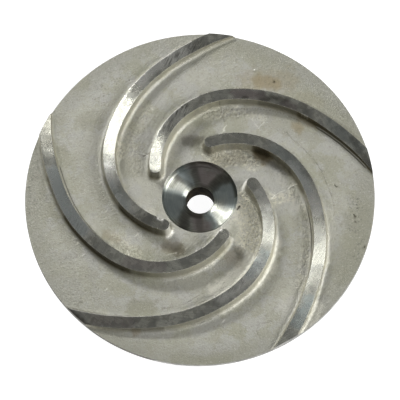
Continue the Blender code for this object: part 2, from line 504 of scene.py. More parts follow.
def add_vane(vane):
    """Draw one vane on the plan and return its lowest level line, the foot of its fillet."""
    quarter = math.pi / 2
    left = [vane_column(vane, point, heading + quarter, INNER_DRAFT) for point, heading in STATIONS]
    right = [vane_column(vane, point, heading - quarter, OUTER_DRAFT) for point, heading in STATIONS]
    nose_point, nose_heading = STATIONS[-1]
    nose = []
    for step in range(1, NOSE_STEPS):
        share = step / NOSE_STEPS
        draft = INNER_DRAFT + (OUTER_DRAFT - INNER_DRAFT) * share
        nose.append(vane_column(vane, nose_point, nose_heading + quarter - math.pi * share, draft))
    outline = left + nose + right[::-1]
    TOP_EDGES.extend(column[0] for column in outline)
    for level in range(LEVELS):
        plan.add_level([column[level] for column in outline], vane, level == 0)
    for wall, other in zip(left[1:], right[1:]):
        for lane in FACE_LANES:
            spot = wall[0].lerp(other[0], lane)
            if spot.xy.length < RIM_LINE - VANE_STEP / 2:
                plan.add(on_dome(spot.x, spot.y), True)
    middle = left[-1][0].lerp(right[-1][0], 0.5)
    for column in nose[1:-1:2]:
        spot = middle.lerp(column[0], 0.5)
        plan.add(on_dome(spot.x, spot.y), True)
    return [column[-1] for column in outline]


feet = [add_vane(vane) for vane in range(VANE_COUNT)]
print("points on the vanes:", len(plan.points), "lines:", len(plan.lines))

# %% [markdown]
# The two turned circles close the plan. Where a vane runs off the rim, its level lines already
# end on the circle, so the circle takes those ends as its vertices and adds its own between them.

# %% Close the plan with the rim and the recess
RIM_STEPS = 760
RECESS_STEPS = 264
CLEAR_OF_CUT = 0.00025


def turned_from(angle, start):
    """The angle from start to angle, between minus and plus half a turn."""
    return (angle - start + math.pi) % (2.0 * math.pi) - math.pi


def vane_spans(cuts):
    """For each vane that meets a circle: a middle angle, its two feet and its turned face."""
    spans = []
    for vane in sorted({cut[2] for cut in cuts}):
        own = [cut for cut in cuts if cut[2] == vane]
        middle = own[0][0]
        feet_at = [turned_from(cut[0], middle) for cut in own]
        face_at = [turned_from(cut[0], middle) for cut in own if cut[3]] or [0.0]
        spans.append((middle, min(feet_at), max(feet_at), min(face_at), max(face_at)))
    return spans


def close_circle(radius, steps):
    """Add a circle to the plan and return its point indices in order of angle."""
    cuts = plan.cuts[radius]
    spans = vane_spans(cuts)
    ring = [(angle, index) for angle, index, vane, on_face in cuts]
    cut_angles = [cut[0] for cut in cuts]
    for step in range(steps):
        angle = 2.0 * math.pi * step / steps - math.pi
        if any(abs(turned_from(angle, other)) * radius < CLEAR_OF_CUT for other in cut_angles):
            continue
        x, y = radius * math.cos(angle), radius * math.sin(angle)
        place = Vector((x, y, FLOOR_Z + skin_wave(x, y)))
        on_face = False
        in_foot = False
        for middle, foot_start, foot_end, face_start, face_end in spans:
            turned = turned_from(angle, middle)
            if face_start < turned < face_end:
                on_face = True
            elif foot_start < turned < foot_end:
                in_foot = True
        if in_foot:
            continue
        if on_face:
            place = on_dome(x, y)
        ring.append((angle, plan.add(place, on_face)))
    ring = [index for angle, index in sorted(ring)]
    plan.lines.extend(zip(ring, ring[1:] + ring[:1]))
    return ring


lines_on_vanes = len(plan.lines)
rim_ring = close_circle(RIM_LINE, RIM_STEPS)
recess_ring = close_circle(RECESS_LINE, RECESS_STEPS)
print("points round the rim:", len(rim_ring), "round the recess:", len(recess_ring))

# %% [markdown]
# Between the vanes the floor gets an even field of points. A search tree tells how far each one
# is from the nearest foot of a fillet, so that none lands on a vane or crowds a line. Each point is
# nudged a little by noise from a fixed seed, because Blender seeds it from the clock otherwise.

# %% Fill the floor with points
FLOOR_STEP = 0.00105
FLOOR_JITTER = 0.00012
JITTER_SEED = 7
JITTER_GRAIN = 97.0
JITTER_SCALE = 13.0
CLEAR_OF_FOOT = 0.0006
CLEAR_OF_MARK = 0.0004
CLOSEST_POINTS = 0.00020
# Rings round each sample of a mark: share of its radius, and how many points
MARK_RINGS = ((0.0, 1), (0.4, 6), (0.72, 8), (1.05, 12))


def middle_line(vane):
    spin = Matrix.Rotation(2.0 * math.pi * vane / VANE_COUNT, 2)
    return [spin @ point + PATTERN_SHIFT for point, heading in STATIONS]


def widest_foot(middles, foot):
    """The greatest distance from a vane's middle line to the foot of its fillet."""
    tree = tree_of(middles)
    return max(tree.find((place.x, place.y, 0.0))[2] for place in foot)


middles = [middle_line(vane) for vane in range(VANE_COUNT)]
FOOT_REACH = max(widest_foot(line, foot) for line, foot in zip(middles, feet))
foot_tree = tree_of([place for foot in feet for place in foot])
middle_tree = tree_of([place for line in middles for place in line])


def clear_of_vanes(x, y):
    spot = (x, y, 0.0)
    foot, _, foot_gap = foot_tree.find(spot)
    middle, _, middle_gap = middle_tree.find(spot)
    if foot_gap < CLEAR_OF_FOOT:
        return False
    beside = (foot - middle).length
    return middle_gap > beside if foot_gap < FOOT_REACH else True


def hexagonal_field(step, inner, outer):
    """Points on a grid of equal triangles between two radii, each nudged off its place."""
    row_step = step * math.sqrt(0.75)
    rows = round(outer / row_step) + 1
    for row in range(-rows, rows + 1):
        y = row * row_step
        for column in range(-rows, rows + 1):
            x = step * (column + 0.5 * (row % 2))
            nudge = noise.noise_vector(Vector((JITTER_GRAIN * x, JITTER_GRAIN * y, 0.5)) * JITTER_SCALE)
            spot = Vector((x, y)) + FLOOR_JITTER * nudge.xy
            if inner < spot.length < outer:
                yield spot


def on_floor(x, y):
    return Vector((x, y, FLOOR_Z + skin_wave(x, y)))


def crowds_a_mark(spot):
    place, index, distance = mark_tree.find((spot.x, spot.y, 0.0))
    return distance < MARKS[index][1] + CLEAR_OF_MARK


def points_of_marks():
    """Rings of points round each sample of a mark, none closer to another than CLOSEST_POINTS."""
    taken = set()
    for centre, radius, height in MARKS:
        for ring, count in MARK_RINGS:
            for step in range(count):
                angle = 2.0 * math.pi * step / count
                spot = centre + ring * radius * Vector((math.cos(angle), math.sin(angle)))
                cell = (round(spot.x / CLOSEST_POINTS), round(spot.y / CLOSEST_POINTS))
                if cell not in taken:
                    taken.add(cell)
                    yield spot


noise.seed_set(JITTER_SEED)
before = len(plan.points)
inner, outer = RECESS_LINE + CLEAR_OF_FOOT, RIM_LINE - CLEAR_OF_FOOT
for spot in hexagonal_field(FLOOR_STEP, inner, outer):
    if clear_of_vanes(spot.x, spot.y) and not crowds_a_mark(spot):
        plan.add(on_floor(spot.x, spot.y))
print("points on the open floor:", len(plan.points) - before)
before = len(plan.points)
for spot in points_of_marks():
    if inner < spot.length < outer and clear_of_vanes(spot.x, spot.y):
        plan.add(on_floor(spot.x, spot.y))
print("points on the marks:", len(plan.points) - before)

# %% [markdown]
# The triangulation works on the flat plan, in millimetres to keep its arithmetic comfortable, and
# every point then rises to its own height. It fills the plan's whole outline, the hole too, so the
# unwanted triangles are dropped by walking in from outside, never across a turned circle.

# %% Triangulate the plan
MILLIMETRE = 0.001
SAME_POINT = 1e-6
SAME_VERTEX = 2e-6
CAST_SKIN, TURNED_FACE, TURNED_HUB, TURNED_RIM, DARK_BORE = range(5)

builder = bmesh.new()


def sides(triangle):
    return [tuple(sorted(pair)) for pair in zip(triangle, triangle[1:] + triangle[:1])]


def fenced_in(triangles, spots, fence):
    """The triangles between the two circles, which the fence's edges draw."""
    beside = {}
    for number, triangle in enumerate(triangles):
        for side in sides(triangle):
            beside.setdefault(side, []).append(number)
    outside = {shared[0] for side, shared in beside.items() if len(shared) == 1 and side not in fence}
    nearest = min(range(len(triangles)), key=lambda n: max(spots[c].length for c in triangles[n]))
    outside.add(nearest)
    waiting = list(outside)
    while waiting:
        for side in sides(triangles[waiting.pop()]):
            if side not in fence:
                fresh = [number for number in beside[side] if number not in outside]
                outside.update(fresh)
                waiting.extend(fresh)
    return [triangle for number, triangle in enumerate(triangles) if number not in outside]


def triangulate(places, lines, first_fence_line):
    """Vertices and triangles of a plan whose last lines are the two circles that fence it in."""
    flat = [place.xy / MILLIMETRE for place in places]
    spots, edges, triangles, origins, edge_origins, _ = delaunay_2d_cdt(
        flat, lines, [], 0, SAME_POINT, True
    )
    fence = set()
    for edge, lines_behind in zip(edges, edge_origins):
        if any(line >= first_fence_line for line in lines_behind):
            fence.add(tuple(sorted(edge)))
    crossings = sum(1 for origin in origins if not origin)
    heights = [places[origin[0]].z if origin else FLOOR_Z for origin in origins]
    vertices = [builder.verts.new((*(spot * MILLIMETRE), z)) for spot, z in zip(spots, heights)]
    index_of = {first: new for new, origin in enumerate(origins) for first in origin}
    print("lines that crossed:", crossings)
    return vertices, fenced_in(triangles, spots, fence), index_of


plan_vertices, plan_triangles, new_index = triangulate(plan.points, plan.lines, lines_on_vanes)
face_vertices = {new_index[index] for index in plan.on_face}
for triangle in plan_triangles:
    face = builder.faces.new([plan_vertices[corner] for corner in triangle])
    face.material_index = TURNED_FACE if face_vertices.issuperset(triangle) else CAST_SKIN
print("triangles on the cast side:", len(plan_triangles))

# %% [markdown]
# Below the plan everything is a solid of revolution, so each turned ring repeats the angles of
# the circle that it hangs from, and bands of quads join ring to ring: the rim down to the back,
# and the recess through the bore to the back of the hub and up its outer side.

# %% Turn the rim, the recess, the bore and the hub
DISH_STEPS = 10
DISH_HOLLOW = 0.00025
LIP_STEPS = 4
LIP_CURVE = 1.5
BORE_BREAK = 0.00040
BORE_STEPS = 6
FILLET_RINGS = 8
BACK_STEP = 0.0026


def ring_below(ring, radius, height):
    """Vertices at the angles of a ring, on a circle of another radius and height."""
    vertices = []
    for above in ring:
        direction = above.co.xy.normalized()
        vertices.append(builder.verts.new((direction.x * radius, direction.y * radius, height)))
    return vertices


def band(upper, lower, material, flip=False):
    """Quads between two rings. Returns the lower one, ready for the next band."""
    following = upper[1:] + upper[:1]
    following_low = lower[1:] + lower[:1]
    for corners in zip(upper, lower, following_low, following):
        face = builder.faces.new(corners[::-1] if flip else corners)
        face.material_index = material
    return lower


def rim_breaks(ring):
    """The ring just outside the plan's rim, a little lower: the lathe's broken edge."""
    vertices = []
    for above in ring:
        direction = above.co.xy.normalized() * DISC_RADIUS
        vertices.append(builder.verts.new((direction.x, direction.y, above.co.z - RIM_BREAK)))
    return vertices


BACK_Z = FLOOR_Z - RIM_THICKNESS
WEB_Z = FLOOR_Z - WEB_THICKNESS_AT_HUB
rim_top = [plan_vertices[new_index[index]] for index in rim_ring]
rim_edge = band(rim_top, rim_breaks(rim_top), TURNED_RIM)
rim_foot = band(rim_edge, ring_below(rim_top, DISC_RADIUS, BACK_Z + RIM_BREAK), TURNED_RIM)
rim_back = band(rim_foot, ring_below(rim_top, RIM_LINE, BACK_Z), TURNED_RIM)


def recess_profile():
    """(radius, height, material) rings from the recess's edge through the bore to the fillet."""
    rings = [(RECESS_RADIUS, FLOOR_Z - RECESS_BREAK, TURNED_HUB)]
    for step in range(1, LIP_STEPS + 1):
        share = step / LIP_STEPS
        radius = RECESS_RADIUS + (RECESS_LIP_RADIUS - RECESS_RADIUS) * share ** LIP_CURVE
        depth = RECESS_BREAK + (RECESS_LIP_DEPTH - RECESS_BREAK) * share
        rings.append((radius, FLOOR_Z - depth, TURNED_HUB))
    for step in range(1, DISH_STEPS + 1):
        share = step / DISH_STEPS
        radius = RECESS_LIP_RADIUS + (RECESS_SEAT_RADIUS - RECESS_LIP_RADIUS) * share
        depth = RECESS_LIP_DEPTH + (RECESS_SEAT_DEPTH - RECESS_LIP_DEPTH) * share
        hollow = DISH_HOLLOW * 4.0 * share * (1.0 - share)
        rings.append((radius, FLOOR_Z - depth - hollow, TURNED_HUB))
    bore_top = FLOOR_Z - RECESS_DEPTH - BORE_BREAK
    rings.append((BORE_RADIUS + BORE_BREAK, FLOOR_Z - RECESS_DEPTH + BORE_BREAK / 2, TURNED_HUB))
    rings.append((BORE_RADIUS, bore_top, TURNED_HUB))
    for step in range(1, BORE_STEPS + 1):
        height = bore_top + (BORE_MOUTH_CHAMFER - bore_top) * step / BORE_STEPS
        rings.append((BORE_RADIUS, height, DARK_BORE))
    rings.append((BORE_RADIUS + BORE_MOUTH_CHAMFER, 0.0, TURNED_HUB))
    rings.append((HUB_RADIUS - HUB_END_CHAMFER, 0.0, TURNED_HUB))
    rings.append((HUB_RADIUS, HUB_END_CHAMFER, TURNED_HUB))
    for step in range(FILLET_RINGS + 1):
        angle = math.pi / 2 * step / FILLET_RINGS
        radius = HUB_RADIUS + HUB_FILLET * (1.0 - math.cos(angle))
        rings.append((radius, WEB_Z - HUB_FILLET * (1.0 - math.sin(angle)), CAST_SKIN))
    return rings


ring = [plan_vertices[new_index[index]] for index in recess_ring]
for radius, height, material in recess_profile():
    ring = band(ring, ring_below(ring, radius, height), material, flip=True)
web_ring = ring
print("faces after turning:", len(builder.faces))

# %% [markdown]
# The back of the disc is a plain cast web that thickens towards the hub. It is another small plan,
# closed by the rim's lower ring and the foot of the hub's fillet, and it heaves as the floor does.

# %% Close the back of the disc
def web_height(radius):
    share = (radius - HUB_RADIUS - HUB_FILLET) / (RIM_LINE - HUB_RADIUS - HUB_FILLET)
    return WEB_Z + (BACK_Z - WEB_Z) * share


def close_back(outer, inner):
    places = [vertex.co.copy() for vertex in outer + inner]
    count = len(outer)
    lines = [(index, (index + 1) % count) for index in range(count)]
    lines += [(count + index, count + (index + 1) % len(inner)) for index in range(len(inner))]
    edge = HUB_RADIUS + HUB_FILLET
    for spot in hexagonal_field(BACK_STEP, edge + BACK_STEP / 2, RIM_LINE - BACK_STEP / 2):
        wave = sand_wave(spot.x + DISC_RADIUS, spot.y)
        places.append(Vector((spot.x, spot.y, web_height(spot.length) + wave)))
    vertices, triangles, index_of = triangulate(places, lines, 0)
    for triangle in triangles:
        face = builder.faces.new([vertices[corner] for corner in reversed(triangle)])
        face.material_index = CAST_SKIN
    bmesh.ops.remove_doubles(builder, verts=builder.verts, dist=SAME_VERTEX)


close_back(rim_back, web_ring)
open_edges = sum(1 for edge in builder.edges if len(edge.link_faces) != 2)
print("faces in all:", len(builder.faces), "edges not shared by two faces:", open_edges)

# %% [markdown]
# Smooth shading hides the facets, but a turned edge has to stay crisp. Edges are marked sharp
# where two finishes meet at an angle and wherever the surface turns by more than 50 degrees.

# %% Make the casting's object
SHARP_TURN = math.radians(50.0)
FINISH_TURN = math.radians(20.0)

bmesh.ops.recalc_face_normals(builder, faces=builder.faces)
for face in builder.faces:
    face.smooth = True
for edge in builder.edges:
    if len(edge.link_faces) == 2:
        bend = edge.calc_face_angle(0.0)
        one, other = edge.link_faces
        limit = SHARP_TURN if one.material_index == other.material_index else FINISH_TURN
        edge.smooth = bend < limit
mesh = bpy.data.meshes.new("cast_impeller")
builder.to_mesh(mesh)
volume = builder.calc_volume()
builder.free()
casting = bpy.data.objects.new("cast_impeller", mesh)
bpy.context.scene.collection.objects.link(casting)
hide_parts(CASTING_NODE)
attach(casting, "root")
print("volume, cubic centimetres:", round(volume * 1e6, 2))

# %% [markdown]
# Rust, soot, dirt and sandy spots sit in chosen places of the real floor, so noise can't put them
# there. The shade on the walls and in the pockets under the vanes is put there the same way, as
# painted shade. Each becomes a mask, a number on every vertex that a material reads by its name:
# full along a line of named pixels, and fading at a given distance. A painted image could do the
# same, but this mesh is so dense that its vertices hold a stain's border as sharply.

# %% Stains and painted shade of the cast floor
# Each patch has a reach in millimetres, a strength, and the pixels that it runs through.
FLOOR_PATCHES = {
    # Brown dirt smudges, and painted shade in the pockets under the vane noses
    "soot_and_shade": (
        ("brown pocket", 3.6, 0.68, ((259.0, 154.0), (265.0, 157.5))),
        ("tail of the brown pocket", 2.6, 0.45, ((266.0, 159.0), (279.0, 168.0), (287.0, 174.0))),
        ("smudge below the second nose", 4.0, 0.30, ((166.0, 246.5), (171.0, 247.5))),
        ("darker end of that smudge", 4.6, 0.42, ((176.0, 250.0), (179.0, 250.5))),
        ("smudge below the lower nose", 3.4, 0.46, ((238.5, 250.0), (241.0, 256.0))),
        ("smudge above the dish", 5.0, 0.52, ((187.0, 141.5), (199.0, 141.0))),
        ("pocket below the left nose", 2.2, 0.55, ((151.5, 178.0), (157.0, 177.5))),
        ("pocket below the upper nose", 1.6, 0.15, ((206.0, 152.0), (209.0, 156.0))),
    ),
    # Painted shade on the walls and fillets that face away from the lamps
    "wall_shade": (
        ("band under the upper vane", 5.5, 0.55, (
            (264.0, 104.0), (285.0, 111.0), (300.0, 117.0), (314.0, 124.0),
        )),
        ("start of that band", 6.0, 0.25, ((236.0, 104.0), (262.0, 104.0))),
        ("dark end of that band", 4.0, 0.85, ((300.0, 118.0), (318.0, 127.0))),
        ("wall under the upper vane", 4.5, 0.95, (
            (316.0, 125.0), (330.0, 136.0), (345.0, 148.0), (373.0, 170.0),
        )),
        ("wall above the brown pocket", 4.0, 0.9, ((257.0, 152.0), (266.0, 156.0))),
        ("wall after the pocket", 4.5, 0.45, (
            (266.0, 156.0), (276.0, 163.0), (290.0, 174.0), (300.0, 190.0),
        )),
        ("wall under the left vane", 5.0, 0.95, (
            (64.0, 222.0), (76.0, 236.0), (90.0, 249.0), (107.0, 261.0), (128.0, 269.0),
        )),
        ("end of that wall", 4.5, 0.5, ((128.0, 269.0), (150.0, 272.0))),
        ("upper wall under the left vane", 4.0, 0.5, ((48.0, 180.0), (55.0, 205.0), (64.0, 222.0))),
        ("wall under the second vane", 4.5, 0.9, (
            (122.0, 210.0), (132.0, 221.0), (146.0, 229.0), (164.0, 230.0),
        )),
        ("upper wall of the second vane", 4.0, 0.45, ((106.0, 182.0), (112.0, 198.0), (122.0, 210.0))),
        ("wall left of the right vane", 3.0, 0.35, (
            (246.0, 186.0), (253.0, 197.0), (260.0, 208.0), (263.0, 222.0),
        )),
        ("foot of the lower vane", 4.0, 0.35, ((74.0, 312.0), (100.0, 328.0), (160.0, 331.0))),
        ("nose of the upper vane", 2.6, 0.25, ((204.0, 147.0), (208.0, 153.0))),
        ("nose of the left vane", 3.0, 0.45, ((151.0, 175.0), (157.0, 175.0))),
    ),
    "rust": (
        ("tan stain", 6.4, 0.76, ((259.0, 81.0), (267.0, 82.0), (275.0, 84.0))),
        ("halo of the tan stain", 10.0, 0.30, ((250.0, 81.0), (286.0, 82.0))),
        ("small tan stain", 4.2, 0.55, ((297.0, 126.0), (299.0, 129.0))),
        ("brown pocket", 4.6, 0.9, ((258.5, 154.0), (266.0, 158.0))),
        ("tan patch between the left vanes", 4.4, 0.28, ((107.0, 235.0), (116.0, 238.0))),
        ("brown in the smudge", 5.0, 0.35, ((167.0, 247.0), (179.0, 250.0))),
        ("brown floor above the dish", 6.0, 0.2, ((216.0, 160.0), (238.0, 158.0))),
        ("tan patch at lower left", 3.5, 0.45, ((136.0, 332.0),)),
        ("faint tan above the upper vane", 5.0, 0.12, ((300.0, 97.0), (318.0, 102.0))),
        ("brown foot of the upper vane", 3.0, 0.45, ((300.0, 117.0), (316.0, 126.0))),
        ("brown below the lower nose", 5.0, 0.3, ((230.0, 256.0), (238.0, 262.0))),
    ),
    # The skin's olive tone, with a band of painted shade along the inner foot of the left vane
    "olive_and_shade": (
        ("patch above the lower vane", 9.5, 0.9, ((137.0, 311.0), (146.0, 310.0))),
        ("floor round the small tan stain", 9.0, 0.4, ((272.0, 120.0), (292.0, 126.0), (312.0, 134.0))),
        ("left rim", 9.0, 0.2, ((44.0, 146.0), (35.0, 184.0), (36.0, 222.0), (48.0, 258.0))),
        ("right rim, upper part", 8.0, 0.5, ((358.0, 198.0), (366.0, 214.0))),
        ("patch at upper left", 7.5, 0.7, ((86.0, 122.0), (96.0, 120.0))),
        ("patch at the left rim", 7.5, 0.75, ((60.0, 154.0), (52.0, 172.0))),
        ("patch at lower left", 6.0, 0.5, ((84.0, 279.0), (92.0, 276.0))),
        ("patch near the upper left rim", 6.0, 0.5, ((82.0, 82.0),)),
        ("patch above the tan stain", 9.0, 0.5, ((262.0, 64.0), (282.0, 72.0), (300.0, 90.0))),
        ("patch at the right rim", 11.0, 0.7, ((358.0, 220.0), (354.0, 244.0), (342.0, 272.0))),
        ("cloud on the right floor", 6.0, 0.2, ((338.0, 183.0), (352.0, 180.0), (366.0, 187.0))),
        ("floor below the top of the rim", 8.0, 0.45, ((196.0, 60.0), (214.0, 53.0), (232.0, 50.0))),
        ("floor beside the crack", 6.0, 0.4, ((198.0, 106.0), (226.0, 103.0))),
        ("rim above the upper vane", 8.0, 0.65, (
            (292.0, 96.0), (318.0, 104.0), (340.0, 122.0), (354.0, 142.0),
        )),
        # These two are painted shade along the inner foot of the left vane
        ("floor inside the left vane", 5.0, 0.7, ((104.0, 238.0), (122.0, 249.0), (140.0, 255.0))),
        ("floor inside its bottom", 5.0, 0.6, ((146.0, 257.0), (170.0, 255.0), (188.0, 251.0))),
        ("floor at lower left", 10.0, 0.35, ((60.0, 264.0), (82.0, 286.0), (104.0, 298.0))),
        ("floor along the lower vane", 4.0, 0.35, ((92.0, 306.0), (112.0, 309.0), (128.0, 311.0))),
        ("floor below the lower vane", 7.0, 0.3, ((96.0, 334.0), (120.0, 343.0), (146.0, 350.0))),
        ("bottom of the rim", 6.0, 0.65, ((176.0, 360.0), (200.0, 363.0), (226.0, 360.0))),
    ),
    "pale": (
        ("floor right of the dish", 9.0, 0.85, ((242.0, 213.0), (250.0, 228.0), (251.0, 244.0))),
        ("inner foot of the lower vane", 6.0, 0.85, (
            (253.0, 252.0), (245.0, 266.0), (232.0, 279.0), (216.0, 290.0),
        )),
        ("outer foot of the lower vane", 5.0, 0.75, (
            (275.0, 244.0), (271.0, 262.0), (259.0, 282.0), (241.0, 297.0), (222.0, 308.0),
        )),
        ("floor inside the left nose", 8.0, 0.35, ((162.0, 158.0), (170.0, 138.0), (186.0, 124.0))),
        ("outer foot of the left vane", 5.0, 0.35, ((168.0, 274.0), (190.0, 270.0), (210.0, 262.0))),
        ("right foot of the lower right vane", 4.0, 0.35, (
            (329.0, 212.0), (331.0, 240.0), (328.0, 262.0),
        )),
        ("floor between the dish and the lower nose", 4.0, 0.5, ((210.0, 233.0), (226.0, 227.0))),
        ("floor above the second nose", 4.0, 0.3, ((132.0, 222.0), (150.0, 213.0))),
        ("floor at lower right", 8.0, 0.3, ((286.0, 306.0), (302.0, 286.0))),
        ("end of that foot", 4.0, 0.5, ((318.0, 306.0), (311.0, 324.0), (306.0, 331.0))),
        ("floor left of the right vane", 6.0, 0.3, ((284.0, 178.0), (294.0, 192.0), (298.0, 206.0))),
    ),
    "coarse": (
        ("sandy floor beside the dish", 10.0, 1.0, ((246.0, 206.0), (250.0, 222.0), (249.0, 240.0))),
        ("sandy floor at upper left", 6.0, 0.3, ((146.0, 110.0), (128.0, 140.0), (134.0, 168.0))),
        ("sandy floor above the dish", 6.0, 0.7, ((214.0, 160.0), (240.0, 156.0), (252.0, 164.0))),
        ("sandy foot on the right", 3.4, 0.3, ((302.0, 206.0), (306.0, 240.0), (302.0, 290.0))),
        ("sandy floor near the crack", 5.0, 0.45, ((206.0, 116.0), (232.0, 112.0))),
        ("right end of that floor", 4.0, 0.3, ((240.0, 112.0), (262.0, 118.0))),
        ("sandy patch by the ridge", 5.0, 0.6, ((274.0, 200.0), (290.0, 196.0))),
        ("sandy patch at lower left", 6.0, 0.45, ((118.0, 240.0), (134.0, 256.0))),
        ("sandy patch near the left vane", 4.0, 0.6, ((118.0, 141.0), (121.0, 154.0))),
    ),
    "seam": (
        ("inner foot of the left vane", 3.0, 1.0, (
            (60.0, 170.0), (66.0, 186.0), (74.0, 201.0), (82.0, 213.0), (92.0, 227.0), (102.0, 239.0),
        )),
        ("foot of the upper vane", 3.0, 0.9, (
            (320.0, 129.0), (334.0, 140.0), (350.0, 152.0), (366.0, 165.0),
        )),
        ("left foot of the lower right vane", 3.0, 0.8, ((308.0, 190.0), (311.0, 220.0), (309.0, 250.0))),
        ("outer foot of the upper left vane", 3.0, 0.6, ((104.0, 106.0), (100.0, 130.0), (99.0, 166.0))),
        ("outer foot of the lower vane", 3.0, 0.5, ((252.0, 304.0), (226.0, 318.0), (202.0, 326.0))),
    ),
    "specks": (
        ("specks near the right rim", 5.0, 1.0, ((357.0, 202.0), (354.0, 228.0))),
        ("specks at the right rim", 4.0, 0.8, ((364.0, 240.0), (360.0, 256.0))),
        ("specks at the left rim", 7.0, 0.6, ((34.0, 180.0), (32.0, 206.0))),
        ("specks low on the left", 9.0, 0.3, ((70.0, 262.0), (92.0, 290.0))),
        ("specks at the top left", 8.0, 0.5, ((96.0, 96.0), (126.0, 76.0))),
    ),
}
print("patches on the floor:", {name: len(rows) for name, rows in FLOOR_PATCHES.items()})

# %% [markdown]
# The vane tops were faced bright, and the castings have since rubbed on each other. Some stretches
# are scratched, and some have a tint of purple or blue. Some are painted lighter, as a painted
# reflection, and the dark ones are partly dull metal and partly painted dark reflection. These
# masks lie on the dome of the turned faces, which stands nearer to the camera than the floor does.

# %% Wear of the vane tops
TOP_PATCHES = {
    # Stretches of the tops painted lighter: painted reflection
    "lightened": (
        ("outer part of the upper left vane", 5.5, 0.6, (
            (142.0, 80.0), (152.0, 68.0), (168.0, 60.0), (186.0, 51.0),
        )),
        ("lower part of the upper left vane", 5.5, 0.65, ((106.0, 168.0), (110.0, 184.0))),
        ("end of the second vane", 5.0, 0.35, ((118.0, 198.0), (130.0, 208.0))),
        ("upper part of the left vane", 6.0, 0.62, (
            (52.0, 172.0), (58.0, 196.0), (70.0, 214.0), (84.0, 230.0),
        )),
        ("inner end of the left nose", 5.0, 0.3, ((170.0, 124.0), (182.0, 112.0))),
        ("middle of the right vane", 5.0, 0.55, (
            (290.0, 168.0), (300.0, 180.0), (312.0, 198.0), (318.0, 210.0),
        )),
        ("right nose", 5.0, 0.4, ((262.0, 192.0), (270.0, 206.0))),
        ("turn of the lower vane", 5.5, 0.5, (
            (260.0, 262.0), (250.0, 274.0), (236.0, 288.0), (222.0, 296.0),
        )),
    ),
    "tarnish_and_reflection": (
        ("purple on the upper vane", 4.0, 0.9, ((236.0, 93.0), (262.0, 96.0))),
        ("second purple on the upper vane", 3.0, 0.8, ((284.0, 103.0), (294.0, 107.0))),
        ("purple on the left vane", 5.0, 0.6, ((128.0, 262.0), (160.0, 266.0))),
        ("purple on the lower vane", 5.0, 0.5, ((96.0, 320.0), (130.0, 322.0))),
    ),
    "teal": (
        ("left vane", 6.0, 0.9, ((54.0, 172.0), (60.0, 196.0), (80.0, 230.0))),
        ("second vane", 5.0, 0.6, ((110.0, 186.0), (124.0, 206.0))),
        ("lower right vane", 5.0, 0.9, ((310.0, 300.0), (298.0, 324.0))),
        ("lower vane", 5.0, 0.8, ((266.0, 256.0), (250.0, 272.0))),
        ("right vane", 5.0, 0.5, ((276.0, 148.0), (296.0, 166.0), (306.0, 190.0))),
        ("upper vane, outer end", 5.0, 0.5, ((330.0, 122.0), (360.0, 148.0))),
    ),
    "scratched": (
        ("outer end of the upper left vane", 6.0, 0.8, ((170.0, 63.0), (186.0, 53.0), (202.0, 44.0))),
        ("inner end of the left vane", 5.0, 1.0, ((170.0, 126.0), (184.0, 108.0))),
        ("bright end of the upper left vane", 4.0, 0.7, ((126.0, 92.0), (134.0, 84.0))),
        ("middle of the upper left vane", 4.0, 0.3, ((104.0, 170.0), (112.0, 190.0))),
        ("middle of the left vane", 4.0, 0.4, ((70.0, 220.0), (96.0, 246.0))),
        ("middle of the lower vane", 4.0, 0.5, ((240.0, 284.0), (210.0, 300.0))),
    ),
    # Dark stretches of the tops: partly dull metal, partly painted dark reflection
    "dull_and_dark_reflection": (
        ("black on the upper vane", 2.6, 0.75, ((262.0, 100.0), (274.0, 97.5), (284.0, 100.0))),
        ("dark foot of the upper vane", 1.6, 0.7, ((243.0, 98.0), (247.0, 97.0))),
        ("dark lower edge of the upper vane", 1.8, 0.6, ((284.0, 108.0), (300.0, 114.0))),
        ("dark end of the upper left vane", 3.0, 0.3, ((190.0, 52.0), (200.0, 44.0))),
        ("worn end at the left rim", 6.5, 0.72, ((49.0, 114.0), (46.0, 126.0), (48.0, 142.0))),
        ("shaded turn of the lower vane", 4.6, 0.25, ((271.0, 249.0), (262.0, 264.0))),
        ("shaded end of the second vane", 5.0, 0.38, ((142.0, 219.0), (158.0, 223.0))),
        ("shaded outer end of the lower vane", 5.0, 0.28, ((92.0, 319.0), (130.0, 321.0), (152.0, 320.0))),
        ("shaded middle of the upper vane", 5.0, 0.36, ((262.0, 98.0), (284.0, 104.0), (304.0, 112.0))),
        ("shaded outer part of the upper vane", 5.0, 0.2, ((330.0, 124.0), (350.0, 138.0))),
        ("shaded end of the right vane", 5.0, 0.40, ((320.0, 272.0), (314.0, 294.0))),
    ),
}
print("patches on the vane tops:", {name: len(rows) for name, rows in TOP_PATCHES.items()})

# %% [markdown]
# The dish round the bore mirrors its room as light and dark fans. The lamps at the end of this
# script give the light ones. The room behind the dark and the coloured ones isn't built, so those
# are masks, like the dark stretches of the rim.

